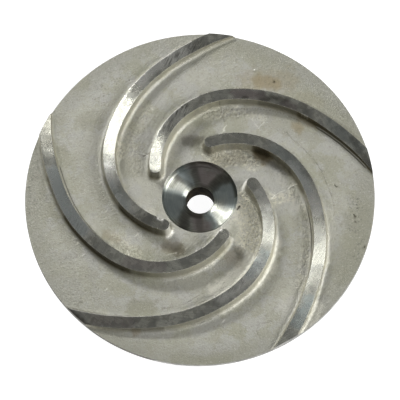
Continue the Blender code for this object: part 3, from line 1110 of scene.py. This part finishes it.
# %% Fans of the dish and dark stretches of the rim
DISH_PATCHES = {
    # Purple and brown fans of the dish: painted reflections
    "tarnish_and_reflection": (
        ("purple fan at the top", 4.4, 1.0, ((202.0, 172.0), (205.0, 182.0), (211.0, 176.0))),
        ("brown edge at the top", 3.0, 0.7, ((188.0, 166.0), (206.0, 165.0), (222.0, 173.0))),
        ("purple fan at the bottom", 5.0, 0.9, ((197.0, 215.0), (199.0, 228.0), (207.0, 226.0))),
    ),
    # Painted dark reflections in the dish
    "dull_and_dark_reflection": (
        ("black wedge at the bottom left", 4.2, 0.8, ((187.5, 211.0), (183.0, 219.0), (184.0, 227.0))),
        ("black wedge at the top left", 3.0, 0.6, ((193.0, 166.0), (196.0, 176.0), (198.0, 184.0))),
        ("black wedge at the top right", 4.2, 0.9, ((213.0, 187.0), (221.0, 178.5), (227.0, 180.0))),
        ("black arc inside the lip", 1.3, 0.8, (
            (224.0, 173.5), (230.0, 180.0), (234.6, 188.0), (236.0, 197.0),
        )),
        ("dark line between the fans", 2.2, 0.6, ((190.0, 184.0), (178.0, 178.0), (172.0, 186.0))),
        ("black round the bore", 2.2, 0.9, ((186.0, 206.0), (191.0, 214.0), (200.0, 216.0))),
        ("black above the bore", 2.2, 0.65, ((194.0, 189.0), (202.0, 186.0), (212.0, 190.0))),
        ("brown band at the bottom", 3.0, 0.4, ((199.0, 214.0), (200.0, 229.0))),
        ("darker edge of the right fan", 2.6, 0.4, ((209.0, 212.0), (217.0, 225.0))),
        ("upper edge of the right fan", 2.4, 0.3, ((218.0, 205.0), (230.0, 210.0))),
        ("second ring line at the top", 0.6, 0.7, (
            (180.0, 172.0), (188.0, 168.6), (198.0, 167.0), (208.0, 168.0), (219.0, 173.4), (227.0, 181.0),
        )),
        ("first ring line at the top", 0.9, 0.6, (
            (175.5, 171.5), (184.0, 165.8), (196.0, 163.0), (208.0, 164.6), (221.0, 171.4), (231.0, 182.4),
        )),
    ),
    # Painted coloured reflections in the dish
    "teal": (
        ("fan on the left", 8.0, 1.0, ((180.0, 202.0), (168.0, 200.0), (172.0, 212.0))),
        ("fan on the right", 7.0, 1.0, ((220.0, 192.0), (232.0, 190.0), (232.0, 200.0))),
        ("fan at the upper left", 4.0, 1.0, ((190.0, 182.0), (182.0, 173.0), (186.0, 168.0))),
        ("fan at the lower right", 3.5, 1.0, ((208.0, 214.0), (214.0, 226.0))),
    ),
}
RIM_PATCHES = {
    # Painted dark reflections along the rim
    "dull_and_dark_reflection": (
        ("dark rim on the left", 3.0, 0.9, ((31.0, 150.0), (24.5, 190.0), (26.5, 230.0), (40.0, 272.0))),
        ("dark rim low on the left", 3.0, 0.9, ((40.0, 272.0), (62.0, 306.0), (96.0, 337.0), (150.0, 361.0))),
        ("dark rim on the right", 3.0, 0.6, ((352.0, 140.0), (372.0, 172.0), (375.0, 200.0))),
    ),
}
print("patches in the dish:", {name: len(rows) for name, rows in DISH_PATCHES.items()})

# %% [markdown]
# Facing the vanes left a burr along some edges, and the light that it catches is put on as a
# painted highlight. Its pixels only pass near the edge, so each step of its line later snaps to
# the nearest point of a vane's top edge. The last patches are painted highlights too, on the
# dish's edge and on the floor.

# %% Painted highlights on burrs and bright spots
BURR_HIGHLIGHTS = (
    # Painted highlights along burred edges and in the chip
    ("broken metal in the chip", 1.3, 1.0, ((158.4, 218.6), (161.6, 217.2))),
    ("burr on the upper left vane", 0.42, 1.0, (
        (128.3, 84.0), (134.1, 76.2), (155.4, 60.7), (174.8, 49.1), (190.0, 40.6),
    )),
    ("worn spot on the upper vane", 0.5, 0.4, ((303.0, 112.0), (308.0, 115.0))),
    ("burr on the vane of the left nose", 0.42, 1.0, (
        (157.0, 134.5), (166.0, 122.0), (175.0, 113.0), (186.0, 104.0), (199.0, 97.0),
    )),
    ("burr on the lower nose", 0.42, 1.0, (
        (203.0, 248.5), (209.8, 240.8), (215.6, 234.0), (221.5, 229.0),
    )),
    ("burr on the lower vane", 0.38, 0.6, (
        (70.1, 308.7), (87.6, 311.2), (126.3, 315.1), (155.4, 314.1), (200.0, 304.4),
    )),
)
HIGHLIGHT_PATCHES = {
    # Painted highlights on the dish's edge, and painted glints on the floor
    "burr_highlight": (
        ("edge of the dish, lower right", 0.45, 0.9, (
            (233.8, 210.6), (230.4, 216.9), (226.2, 221.8), (221.2, 225.9),
        )),
        ("edge of the dish, upper left", 0.45, 0.5, ((164.2, 184.2), (168.8, 175.9), (174.6, 169.9))),
    ),
    "glint": (
        ("fleck below the second nose", 1.6, 0.8, ((167.5, 236.0), (171.0, 232.5))),
        ("bright foot of the right nose", 1.5, 0.5, ((243.0, 188.5), (247.0, 182.5))),
        ("bright foot of the lower nose", 1.8, 0.6, ((224.2, 246.2), (230.6, 239.0))),
    ),
}
print("worn edges:", len(BURR_HIGHLIGHTS), "bare spots:", sum(len(rows) for rows in HIGHLIGHT_PATCHES.values()))

# %% [markdown]
# To paint a patch, its pixels become places on the part, and every vertex near the line through
# them takes some of the mask, with noise to fray the border. Only vertices that face up or out
# take paint, or the stains and painted shade would show on the back too. The marks bring their
# own paint: dirt and painted shade in their grooves, and a painted highlight on their ridges.

# %% Paint the masks
PATCH_FRAY = 0.0024
FRAY_ROOM = 1.3
SAMPLE_STRIDE = 3
MARK_PAINT_REACH = 1.1
STRONGEST_MARK_PAINT = 0.9
GROOVE_DIRT_AND_SHADE = 4.0
LEAST_GROOVE_DIRT_AND_SHADE = 0.15
RIDGE_SHINE = 3.0
LOWEST_PAINT = FLOOR_Z - RECESS_DEPTH - 0.0001
LEAST_FACING = -0.5

upper_vertices = [
    vertex for vertex in mesh.vertices
    if vertex.co.z > LOWEST_PAINT and vertex.normal.z > LEAST_FACING
]
vertex_tree = kdtree.KDTree(len(upper_vertices))
for vertex in upper_vertices:
    vertex_tree.insert((vertex.co.x, vertex.co.y, 0.0), vertex.index)
vertex_tree.balance()
masks = {}


def seen_in_dish(column, row):
    """The place in the dish round the bore that the camera sees through a pixel."""
    return seen_at(column, row, FLOOR_Z - (RECESS_LIP_DEPTH + RECESS_SEAT_DEPTH) / 2)


def paint_patch(mask, reach, strength, places, fray_share=0.5):
    """Raise a mask near a line of places, most along the line and not at all beyond its reach."""
    samples = stroke_samples(reach, strength, places)
    for place, radius, full in samples[::SAMPLE_STRIDE] + samples[-1:]:
        for spot, index, distance in vertex_tree.find_range((place.x, place.y, 0.0), radius * FRAY_ROOM):
            fray = 1.0 + fray_share * noise.noise(Vector((spot[0], spot[1], 0.7)) / PATCH_FRAY)
            share = max(0.0, 1.0 - (distance * fray / radius) ** 2)
            mask[index] = max(mask[index], full * share * share * (3.0 - 2.0 * share))


def paint(patches, seen, fray_share=0.5):
    """Paint each patch into the mask of its name, at the places that a function sees it at."""
    for name, rows in patches.items():
        mask = masks.setdefault(name, [0.0] * len(mesh.vertices))
        for _, reach_mm, strength, pixels in rows:
            places = [seen(*pixel) for pixel in pixels]
            paint_patch(mask, reach_mm / 1000.0, strength, places, fray_share)


paint(FLOOR_PATCHES, seen_at)
paint(TOP_PATCHES, seen_on_top)
paint(DISH_PATCHES, seen_in_dish, fray_share=0.2)
paint(RIM_PATCHES, seen_at)
paint(HIGHLIGHT_PATCHES, seen_at)
edge_tree = tree_of(TOP_EDGES)
for _, reach_mm, strength, pixels in BURR_HIGHLIGHTS:
    line = stroke_samples(0.0, 0.0, [seen_on_top(*pixel) for pixel in pixels])
    edge = [edge_tree.find((place.x, place.y, 0.0))[0].xy for place, _, _ in line]
    paint_patch(masks["burr_highlight"], reach_mm / 1000.0, strength, edge, fray_share=0.3)
for _, half_width_mm, height_mm, pixels in STROKES:
    places = [seen_at(*pixel) for pixel in pixels]
    reach = MARK_PAINT_REACH * half_width_mm / 1000.0
    # Grooves take dirt and painted shade, darker the deeper they are; ridges take a painted highlight
    if height_mm < 0.0:
        dirt_and_shade = min(STRONGEST_MARK_PAINT, LEAST_GROOVE_DIRT_AND_SHADE - GROOVE_DIRT_AND_SHADE * height_mm)
        paint_patch(masks["soot_and_shade"], reach, dirt_and_shade, places)
    else:
        shine = min(STRONGEST_MARK_PAINT, RIDGE_SHINE * height_mm)
        paint_patch(masks["glint"], reach, shine, places)
print("masks painted:", list(masks))

# %% [markdown]
# Two more masks need no pixels. One comes from the slope of the surface and finds the fillets,
# which are painted lighter and warmer as a painted highlight, and which keep the painted wall
# shade on the walls. The other is the distance from the nearest vane's middle line, which later
# draws the seam that the mould's two halves left along a vane's foot.

# %% Masks worked out from the shape
FILLET_UPRIGHT = 0.55
FILLET_LEVEL = 0.995
LOWEST_FILLET = FLOOR_Z - 0.001


def smooth_step(value, low, high):
    """0 below low and 1 above high, with a soft change between."""
    share = min(1.0, max(0.0, (value - low) / (high - low)))
    return share * share * (3.0 - 2.0 * share)


masks["fillet"] = [
    1.0 - smooth_step(vertex.normal.z, FILLET_UPRIGHT, FILLET_LEVEL) if vertex.co.z > LOWEST_FILLET else 0.0
    for vertex in mesh.vertices
]
# The painted wall shade is kept to the walls and fillets
masks["wall_shade"] = [soot_and_shade * wall for soot_and_shade, wall in zip(masks["wall_shade"], masks["fillet"])]
masks["from_middle"] = [
    middle_tree.find((vertex.co.x, vertex.co.y, 0.0))[2] for vertex in mesh.vertices
]
for name, values in masks.items():
    mesh.attributes.new(name, "FLOAT", "POINT").data.foreach_set("value", values)
print("masks:", {name: round(sum(values)) for name, values in masks.items()})

# %% [markdown]
# Shader nodes do sums badly when each is placed by hand. This class wraps an output socket, so
# that a Python expression such as 1 - mask * 0.5 adds the Math nodes by itself. Every other node
# comes from its one method, which takes the node's type, its settings and its sockets.

# %% A socket that does arithmetic
class Wire:
    """A wire from a socket of a node tree, or without a socket, from which the first ones start."""

    def __init__(self, tree, socket=None):
        self.tree = tree
        self.socket = socket

    def node(self, kind, settings=None, sockets=None, output=0):
        """Add a node, set it up, fill its sockets with values or wires, and return an output."""
        made = self.tree.nodes.new("ShaderNode" + kind)
        for name, value in (settings or {}).items():
            setattr(made, name, value)
        for key, value in (sockets or {}).items():
            if isinstance(value, Wire):
                self.tree.links.new(value.socket, made.inputs[key])
            else:
                made.inputs[key].default_value = value
        return Wire(self.tree, made.outputs[output])

    def math(self, operation, one, other):
        return self.node("Math", {"operation": operation}, {0: one, 1: other})

    def __add__(self, other):
        return self.math("ADD", self, other)

    def __sub__(self, other):
        return self.math("SUBTRACT", self, other)

    def __rsub__(self, other):
        return self.math("SUBTRACT", other, self)

    def __mul__(self, other):
        return self.math("MULTIPLY", self, other)

    def __truediv__(self, other):
        return self.math("DIVIDE", self, other)

    def __pow__(self, other):
        return self.math("POWER", self, other)

    __radd__ = __add__
    __rmul__ = __mul__


def object_place(start):
    return start.node("TexCoord", output="Object")


def noise_at(place, size, detail=2.0, roughness=0.5, offset=0.0):
    """Noise from 0 to 1 whose blotches are about size metres across."""
    moved = place.node("VectorMath", {"operation": "ADD"}, {0: place, 1: (offset, offset, offset)})
    return place.node("TexNoise", None, {
        "Vector": moved, "Scale": 1.0 / size, "Detail": detail, "Roughness": roughness,
    })


def stretch(value, low, high):
    """Map low to 0 and high to 1, softly, and hold there."""
    return value.node("MapRange", {"interpolation_type": "SMOOTHSTEP"}, {
        "Value": value, "From Min": low, "From Max": high,
    })


def painted(start, name):
    """A mask that was painted on the vertices."""
    return start.node("Attribute", {"attribute_name": name}, output="Fac")


# A Mix node has sockets for numbers, vectors and colours, so those for colours go by their number
FIRST_COLOUR, SECOND_COLOUR, MIXED_COLOUR = 6, 7, 2


def mix_colours(mask, first, second):
    """The first colour where the mask is 0, the second where it is 1."""
    sockets = {0: mask, FIRST_COLOUR: first, SECOND_COLOUR: second}
    return mask.node("Mix", {"data_type": "RGBA"}, sockets, output=MIXED_COLOUR)


def new_material(name):
    """A material with nodes, its shader node, and a wire from which its nodes start."""
    material = bpy.data.materials.new(name)
    material.use_nodes = True
    tree = material.node_tree
    return material, tree.nodes["Principled BSDF"], Wire(tree)


def connect(shader, key, wire):
    wire.tree.links.new(wire.socket, shader.inputs[key])


print("operators on a wire:", [name for name, part in vars(Wire).items() if callable(part)])

# %% [markdown]
# The cast skin is a satin grey-green with warmer and colder clouds, fine pits, and a grain like
# fine sandpaper. The clouds come from colour and roughness together. The grain is bump at two
# sizes, stronger on the sandy places, and the stains are colours laid over it by their masks.
# Painted shade on the walls, in the pockets and in the grooves, and painted highlights on the
# fillets, ridges, burrs and bright spots, are laid over it the same way.

# %% Cast skin
# The wall olive, the soot brown and part of the olive stain are painted shade; the fillet colour and the
# near-white are painted highlights
CAST_GREY = (0.405, 0.400, 0.345, 1.0)
CAST_OLIVE = (0.300, 0.300, 0.225, 1.0)
CAST_COLD = (0.396, 0.393, 0.358, 1.0)
OLIVE_STAIN_AND_SHADE = (0.262, 0.260, 0.194, 1.0)
FILLET_TINT_AND_HIGHLIGHT = (0.580, 0.552, 0.435, 1.0)
RIM_GREY = (0.285, 0.283, 0.238, 1.0)
RUST_TAN = (0.262, 0.213, 0.118, 1.0)
SOOT_AND_SHADE_BROWN = (0.045, 0.035, 0.018, 1.0)
WALL_SHADE_OLIVE = (0.066, 0.055, 0.026, 1.0)
SPECK_GREY = (0.120, 0.118, 0.100, 1.0)
BRIGHT_GRAIN = (0.620, 0.615, 0.560, 1.0)
HIGHLIGHT_WHITE = (0.900, 0.890, 0.820, 1.0)
SAND_TAN = (0.720, 0.695, 0.560, 1.0)
PALE_SKIN = (0.640, 0.630, 0.545, 1.0)
BROAD_CLOUD = 0.030
COLD_CLOUD = 0.012
WARM_CLOUD = 0.0060
SAND_GRAIN = 0.0015
FRECKLE = 0.0011
SPARKLE = 0.0009
FINE_GRAIN = 0.0009
PEBBLE = 0.0024
RIM_GREY_START = 0.0850
RIM_GREY_END = 0.0980
BUMP_DEPTH = 0.0003


def radius_of(place):
    """The distance from the shaft axis."""
    parts = place.node("SeparateXYZ", None, {0: place})
    y = Wire(parts.tree, parts.socket.node.outputs[1])
    return (parts * parts + y * y) ** 0.5


def sandy_grains(place):
    """Grains of the mould's sand, which show only where the skin is coarse."""
    return stretch(noise_at(place, SAND_GRAIN, 3.0, 0.65, offset=12.0), 0.42, 0.60)


def cast_colour(place, start):
    """The skin's own clouds, then its stains, painted shade and painted highlights."""
    coarse = painted(start, "coarse")
    clouds = stretch(noise_at(place, BROAD_CLOUD, 4.0, 0.6), 0.35, 0.70)
    cold = stretch(noise_at(place, COLD_CLOUD, 5.0, 0.6, offset=3.0), 0.46, 0.58)
    warm = stretch(noise_at(place, WARM_CLOUD, 4.0, 0.65, offset=4.0), 0.51, 0.66)
    freckles = stretch(noise_at(place, FRECKLE, 3.0, 0.6, offset=8.0), 0.52, 0.70)
    sparkles = stretch(noise_at(place, SPARKLE, 3.0, 0.7, offset=9.0), 0.56, 0.68)
    colour = mix_colours(clouds * 0.7, CAST_GREY, CAST_OLIVE)
    colour = mix_colours(cold * 0.9, colour, CAST_COLD)
    colour = mix_colours(warm * 0.35, colour, CAST_OLIVE)
    rim = stretch(radius_of(place), RIM_GREY_START, RIM_GREY_END)
    colour = mix_colours(rim * 0.7, colour, RIM_GREY)
    colour = mix_colours(painted(start, "pale"), colour, PALE_SKIN)
    # Olive tone, and painted shade at the inner foot of the left vane
    colour = mix_colours(painted(start, "olive_and_shade") * (0.75 + cold * 0.25), colour, OLIVE_STAIN_AND_SHADE)
    # The fillets are painted lighter and warmer: a painted highlight with a warm tint
    colour = mix_colours(painted(start, "fillet") * (0.35 + warm * 0.45), colour, FILLET_TINT_AND_HIGHLIGHT)
    colour = mix_colours((0.15 + sandy_grains(place) * 0.8) * coarse, colour, SAND_TAN)
    colour = mix_colours(sparkles * (0.34 + coarse * 0.5), colour, BRIGHT_GRAIN)
    colour = mix_colours(painted(start, "rust"), colour, RUST_TAN)
    dark_grains = freckles * (0.26 + painted(start, "specks") * 0.6 + coarse * 0.25)
    colour = mix_colours(dark_grains, colour, SPECK_GREY)
    # Painted shade on the walls that face away from the lamps
    colour = mix_colours(painted(start, "wall_shade"), colour, WALL_SHADE_OLIVE)
    # Soot, and painted shade in the pockets and the grooves
    colour = mix_colours(painted(start, "soot_and_shade"), colour, SOOT_AND_SHADE_BROWN)
    # Painted highlights on the burrs and the glints
    colour = mix_colours(painted(start, "burr_highlight") * 0.8, colour, HIGHLIGHT_WHITE)
    return mix_colours(painted(start, "glint"), colour, HIGHLIGHT_WHITE), clouds


SEAM_RIDGE = 0.00430
SEAM_GROOVE = 0.00495
SEAM_HALF_WIDTH = 0.00045


def line_beside_vane(start, distance):
    """A thin line that keeps its distance from a vane's middle, where a seam is painted."""
    away = painted(start, "from_middle") - distance
    away = away.node("Math", {"operation": "ABSOLUTE"}, {0: away})
    return (1.0 - stretch(away, 0.0, SEAM_HALF_WIDTH)) * painted(start, "seam")


def cast_skin():
    material, shader, start = new_material("cast_skin")
    place = object_place(start)
    colour, clouds = cast_colour(place, start)
    groove = line_beside_vane(start, SEAM_GROOVE)
    ridge = line_beside_vane(start, SEAM_RIDGE)
    colour = mix_colours(ridge * 0.5, colour, BRIGHT_GRAIN)
    colour = mix_colours(groove * 0.85, colour, SPECK_GREY)
    coarse = painted(start, "coarse")
    fine = noise_at(place, FINE_GRAIN, 3.0, 0.65, offset=5.0)
    pebbles = noise_at(place, PEBBLE, 2.0, 0.6, offset=6.0)
    connect(shader, "Base Color", colour)
    fillet = painted(start, "fillet")
    connect(shader, "Roughness", 0.42 + clouds * 0.06 + fine * 0.10 - fillet * 0.16)
    shader.inputs["Metallic"].default_value = 0.6
    relief = fine * (1.4 + coarse * 2.6 + fillet * 0.5) + pebbles * (0.9 + coarse * 0.3 - fillet * 0.5)
    relief = relief + ridge * 1.4 - groove * 1.4 + sandy_grains(place) * coarse * 1.4
    bump = relief.node("Bump", None, {"Strength": 0.8, "Distance": BUMP_DEPTH, "Height": relief})
    connect(shader, "Normal", bump)
    return material


# %% [markdown]
# The faced vane tops, the dish and the rim were all cut by a tool that stood still while the
# casting spun, so their scratches are circles about the shaft. Such a surface throws light into
# two fans that lie opposite each other. Anisotropy does that, with its direction across the ring.

# %% Turned finishes
ACROSS_THE_RINGS = 0.25
# The tarnish colour also paints reflections in the dish, the dull metal paints dark reflections, and the
# near-white metal of the tops paints lighter reflections
TARNISH_AND_REFLECTION = (0.325, 0.275, 0.268, 1.0)
COOL_GREY = (0.290, 0.295, 0.275, 1.0)
TEAL_SHEEN = (0.330, 0.400, 0.410, 1.0)
DULL_AND_DARK_REFLECTION_METAL = (0.050, 0.045, 0.033, 1.0)
LIGHTENED_METAL = (0.900, 0.900, 0.840, 1.0)
TINT_CLOUD = 0.008
WEAR_CLOUD = 0.0040
SPECKLE = 0.0009
SCRATCH_LENGTH = 0.0070
SCRATCH_WIDTH = 0.00060
SCRATCH_DIRECTION = math.radians(-62.0)


def hatching(place):
    """Fine parallel scratches, as left by stacking parts face to face."""
    turned = place.node("VectorRotate", {"rotation_type": "Z_AXIS"}, {
        "Vector": place, "Angle": SCRATCH_DIRECTION,
    })
    drawn_out = turned.node("VectorMath", {"operation": "MULTIPLY"}, {
        0: turned, 1: (1.0 / SCRATCH_LENGTH, 1.0 / SCRATCH_WIDTH, 1.0),
    })
    lines = drawn_out.node("TexNoise", None, {"Vector": drawn_out, "Scale": 1.0, "Detail": 2.0})
    return stretch(lines, 0.50, 0.60)


def darker(colour, share):
    """A colour brought down to a share of its brightness."""
    return tuple(share * part for part in colour[:3]) + (1.0,)


def turned_colour(place, start, colour, rings, wear, speckle):
    """Metal with tool rings, handling wear and stains, painted light and dark reflections, and painted
    highlights on burrs.
    """
    tints = stretch(noise_at(place, TINT_CLOUD, 2.0, 0.5, offset=7.0), 0.45, 0.58)
    shade = mix_colours(wear * 0.8, colour, darker(colour, 0.55))
    shade = mix_colours(tints * 0.5, shade, COOL_GREY)
    shade = mix_colours(speckle * 0.12, shade, darker(colour, 0.40))
    shade = mix_colours(stretch(rings, 0.42, 0.62) * 0.5, shade, darker(colour, 0.40))
    # Painted lighter reflection on stretches of the tops
    shade = mix_colours(painted(start, "lightened"), shade, LIGHTENED_METAL)
    shade = mix_colours(painted(start, "teal") * 0.55, shade, TEAL_SHEEN)
    # Tarnish on the tops, and painted purple and brown reflections in the dish
    shade = mix_colours(painted(start, "tarnish_and_reflection") * 0.7, shade, TARNISH_AND_REFLECTION)
    shade = mix_colours(hatching(place) * painted(start, "scratched") * 0.9, shade, darker(colour, 0.22))
    # Dull metal, and painted dark reflections on the tops, the dish and the rim
    shade = mix_colours(painted(start, "dull_and_dark_reflection") * 0.85, shade, DULL_AND_DARK_REFLECTION_METAL)
    # Painted highlights on the burrs
    return mix_colours(painted(start, "burr_highlight"), shade, HIGHLIGHT_WHITE)


def turned_metal(name, colour, roughness, anisotropy, ring_width, ring_height):
    """Bare metal with the rings of a lathe tool about the shaft axis."""
    material, shader, start = new_material(name)
    place = object_place(start)
    radius = radius_of(place)
    rings = radius.node("TexNoise", {"noise_dimensions": "1D"}, {
        "W": radius / ring_width, "Scale": 1.0, "Detail": 3.0,
    })
    wear = stretch(noise_at(place, WEAR_CLOUD, 3.0, 0.6), 0.40, 0.64)
    speckle = stretch(noise_at(place, SPECKLE, 3.0, 0.65, offset=2.0), 0.48, 0.70)
    shade = turned_colour(place, start, colour, rings, wear, speckle)
    connect(shader, "Base Color", shade)
    connect(shader, "Roughness", roughness + wear * 0.06 + speckle * 0.015)
    # Less metallic under the painted burr highlight, so that it stays bright
    connect(shader, "Metallic", 1.0 - painted(start, "burr_highlight") * 0.7)
    shader.inputs["Anisotropic"].default_value = anisotropy
    shader.inputs["Anisotropic Rotation"].default_value = ACROSS_THE_RINGS
    relief = rings + speckle * 0.03
    bump = relief.node("Bump", None, {"Strength": 0.5, "Distance": ring_height, "Height": relief})
    connect(shader, "Normal", bump)
    return material


BORE_BROWN = (0.034, 0.027, 0.014, 1.0)
BORE_BLACK = (0.010, 0.008, 0.005, 1.0)
BORE_STREAK = 0.004


def dark_bore():
    """The bore's wall, painted dark brown and black in streaks."""
    material, shader, start = new_material("dark_bore")
    streaks = stretch(noise_at(object_place(start), BORE_STREAK, 3.0, offset=11.0), 0.40, 0.60)
    connect(shader, "Base Color", mix_colours(streaks, BORE_BROWN, BORE_BLACK))
    shader.inputs["Roughness"].default_value = 0.8
    shader.inputs["Specular IOR Level"].default_value = 0.05
    return material


faced_tops = turned_metal(
    "faced_vane_tops", (0.615, 0.615, 0.535, 1.0),
    roughness=0.25, anisotropy=1.0, ring_width=0.0004, ring_height=0.00003,
)
turned_hub = turned_metal(
    "turned_hub", (0.430, 0.442, 0.385, 1.0),
    roughness=0.30, anisotropy=1.0, ring_width=0.0007, ring_height=0.00003,
)
turned_rim = turned_metal(
    "turned_rim", (0.460, 0.455, 0.430, 1.0),
    roughness=0.35, anisotropy=0.5, ring_width=0.0004, ring_height=0.00001,
)
for material in (cast_skin(), faced_tops, turned_hub, turned_rim, dark_bore()):
    casting.data.materials.append(material)
print("finishes:", [material.name for material in casting.data.materials])

# %% [markdown]
# The turned rings mirror the studio like a dial: each lamp lights the two places where the rings
# run square to it. Reading those places off the photograph gives one soft lamp on the right, a
# wider and weaker one beside it, and a third behind on the left. The rest of the room is dim, and
# the floor glows faintly, so that it shows as plain white.

# %% Studio
FLOOR_HALF = 3.0
FLOOR_GREY = 0.3
FLOOR_GLOW = 0.95
ROOM_LIGHT = 0.27
LAMP_DISTANCE = 1.6


def studio_floor():
    made = bmesh.new()
    bmesh.ops.create_grid(made, x_segments=1, y_segments=1, size=FLOOR_HALF)
    floor_mesh = bpy.data.meshes.new("studio_floor")
    made.to_mesh(floor_mesh)
    made.free()
    floor = bpy.data.objects.new("studio_floor", floor_mesh)
    bpy.context.scene.collection.objects.link(floor)
    material, shader, start = new_material("white_floor")
    shader.inputs["Base Color"].default_value = (FLOOR_GREY, FLOOR_GREY, FLOOR_GREY, 1.0)
    shader.inputs["Roughness"].default_value = 0.9
    shader.inputs["Emission Color"].default_value = (1.0, 1.0, 1.0, 1.0)
    shader.inputs["Emission Strength"].default_value = FLOOR_GLOW
    floor_mesh.materials.append(material)


def soft_lamp(name, azimuth, elevation, width, height, power, roll=0.0):
    """A lamp that points at the part, placed by compass angle and height angle in degrees."""
    lamp = bpy.data.lights.new(name, "AREA")
    lamp.shape = "RECTANGLE"
    lamp.size = width
    lamp.size_y = height
    lamp.energy = power
    holder = bpy.data.objects.new(name, lamp)
    turned, raised = math.radians(azimuth), math.radians(elevation)
    direction = Vector((
        math.cos(raised) * math.cos(turned), math.cos(raised) * math.sin(turned), math.sin(raised),
    ))
    holder.location = direction * LAMP_DISTANCE
    aimed = direction.to_track_quat("Z", "Y") @ Quaternion((0.0, 0.0, 1.0), math.radians(roll))
    holder.rotation_euler = aimed.to_euler()
    bpy.context.scene.collection.objects.link(holder)


def dim_room():
    world = bpy.data.worlds.new("studio_world")
    bpy.context.scene.world = world
    world.use_nodes = True
    background = world.node_tree.nodes["Background"]
    background.inputs["Color"].default_value = (1.0, 1.0, 1.0, 1.0)
    background.inputs["Strength"].default_value = ROOM_LIGHT


studio_floor()
soft_lamp("right_lamp", azimuth=-12.0, elevation=37.0, width=0.36, height=0.89, power=16.5, roll=28.0)
soft_lamp("wide_lamp", azimuth=-20.0, elevation=36.0, width=1.20, height=0.50, power=6.0)
soft_lamp("back_lamp", azimuth=122.8, elevation=38.0, width=0.66, height=0.25, power=14.8, roll=-25.0)
dim_room()
bpy.context.scene.view_settings.view_transform = "Standard"
print("lamps:", [lamp.name for lamp in bpy.data.lights])

# %% [markdown]
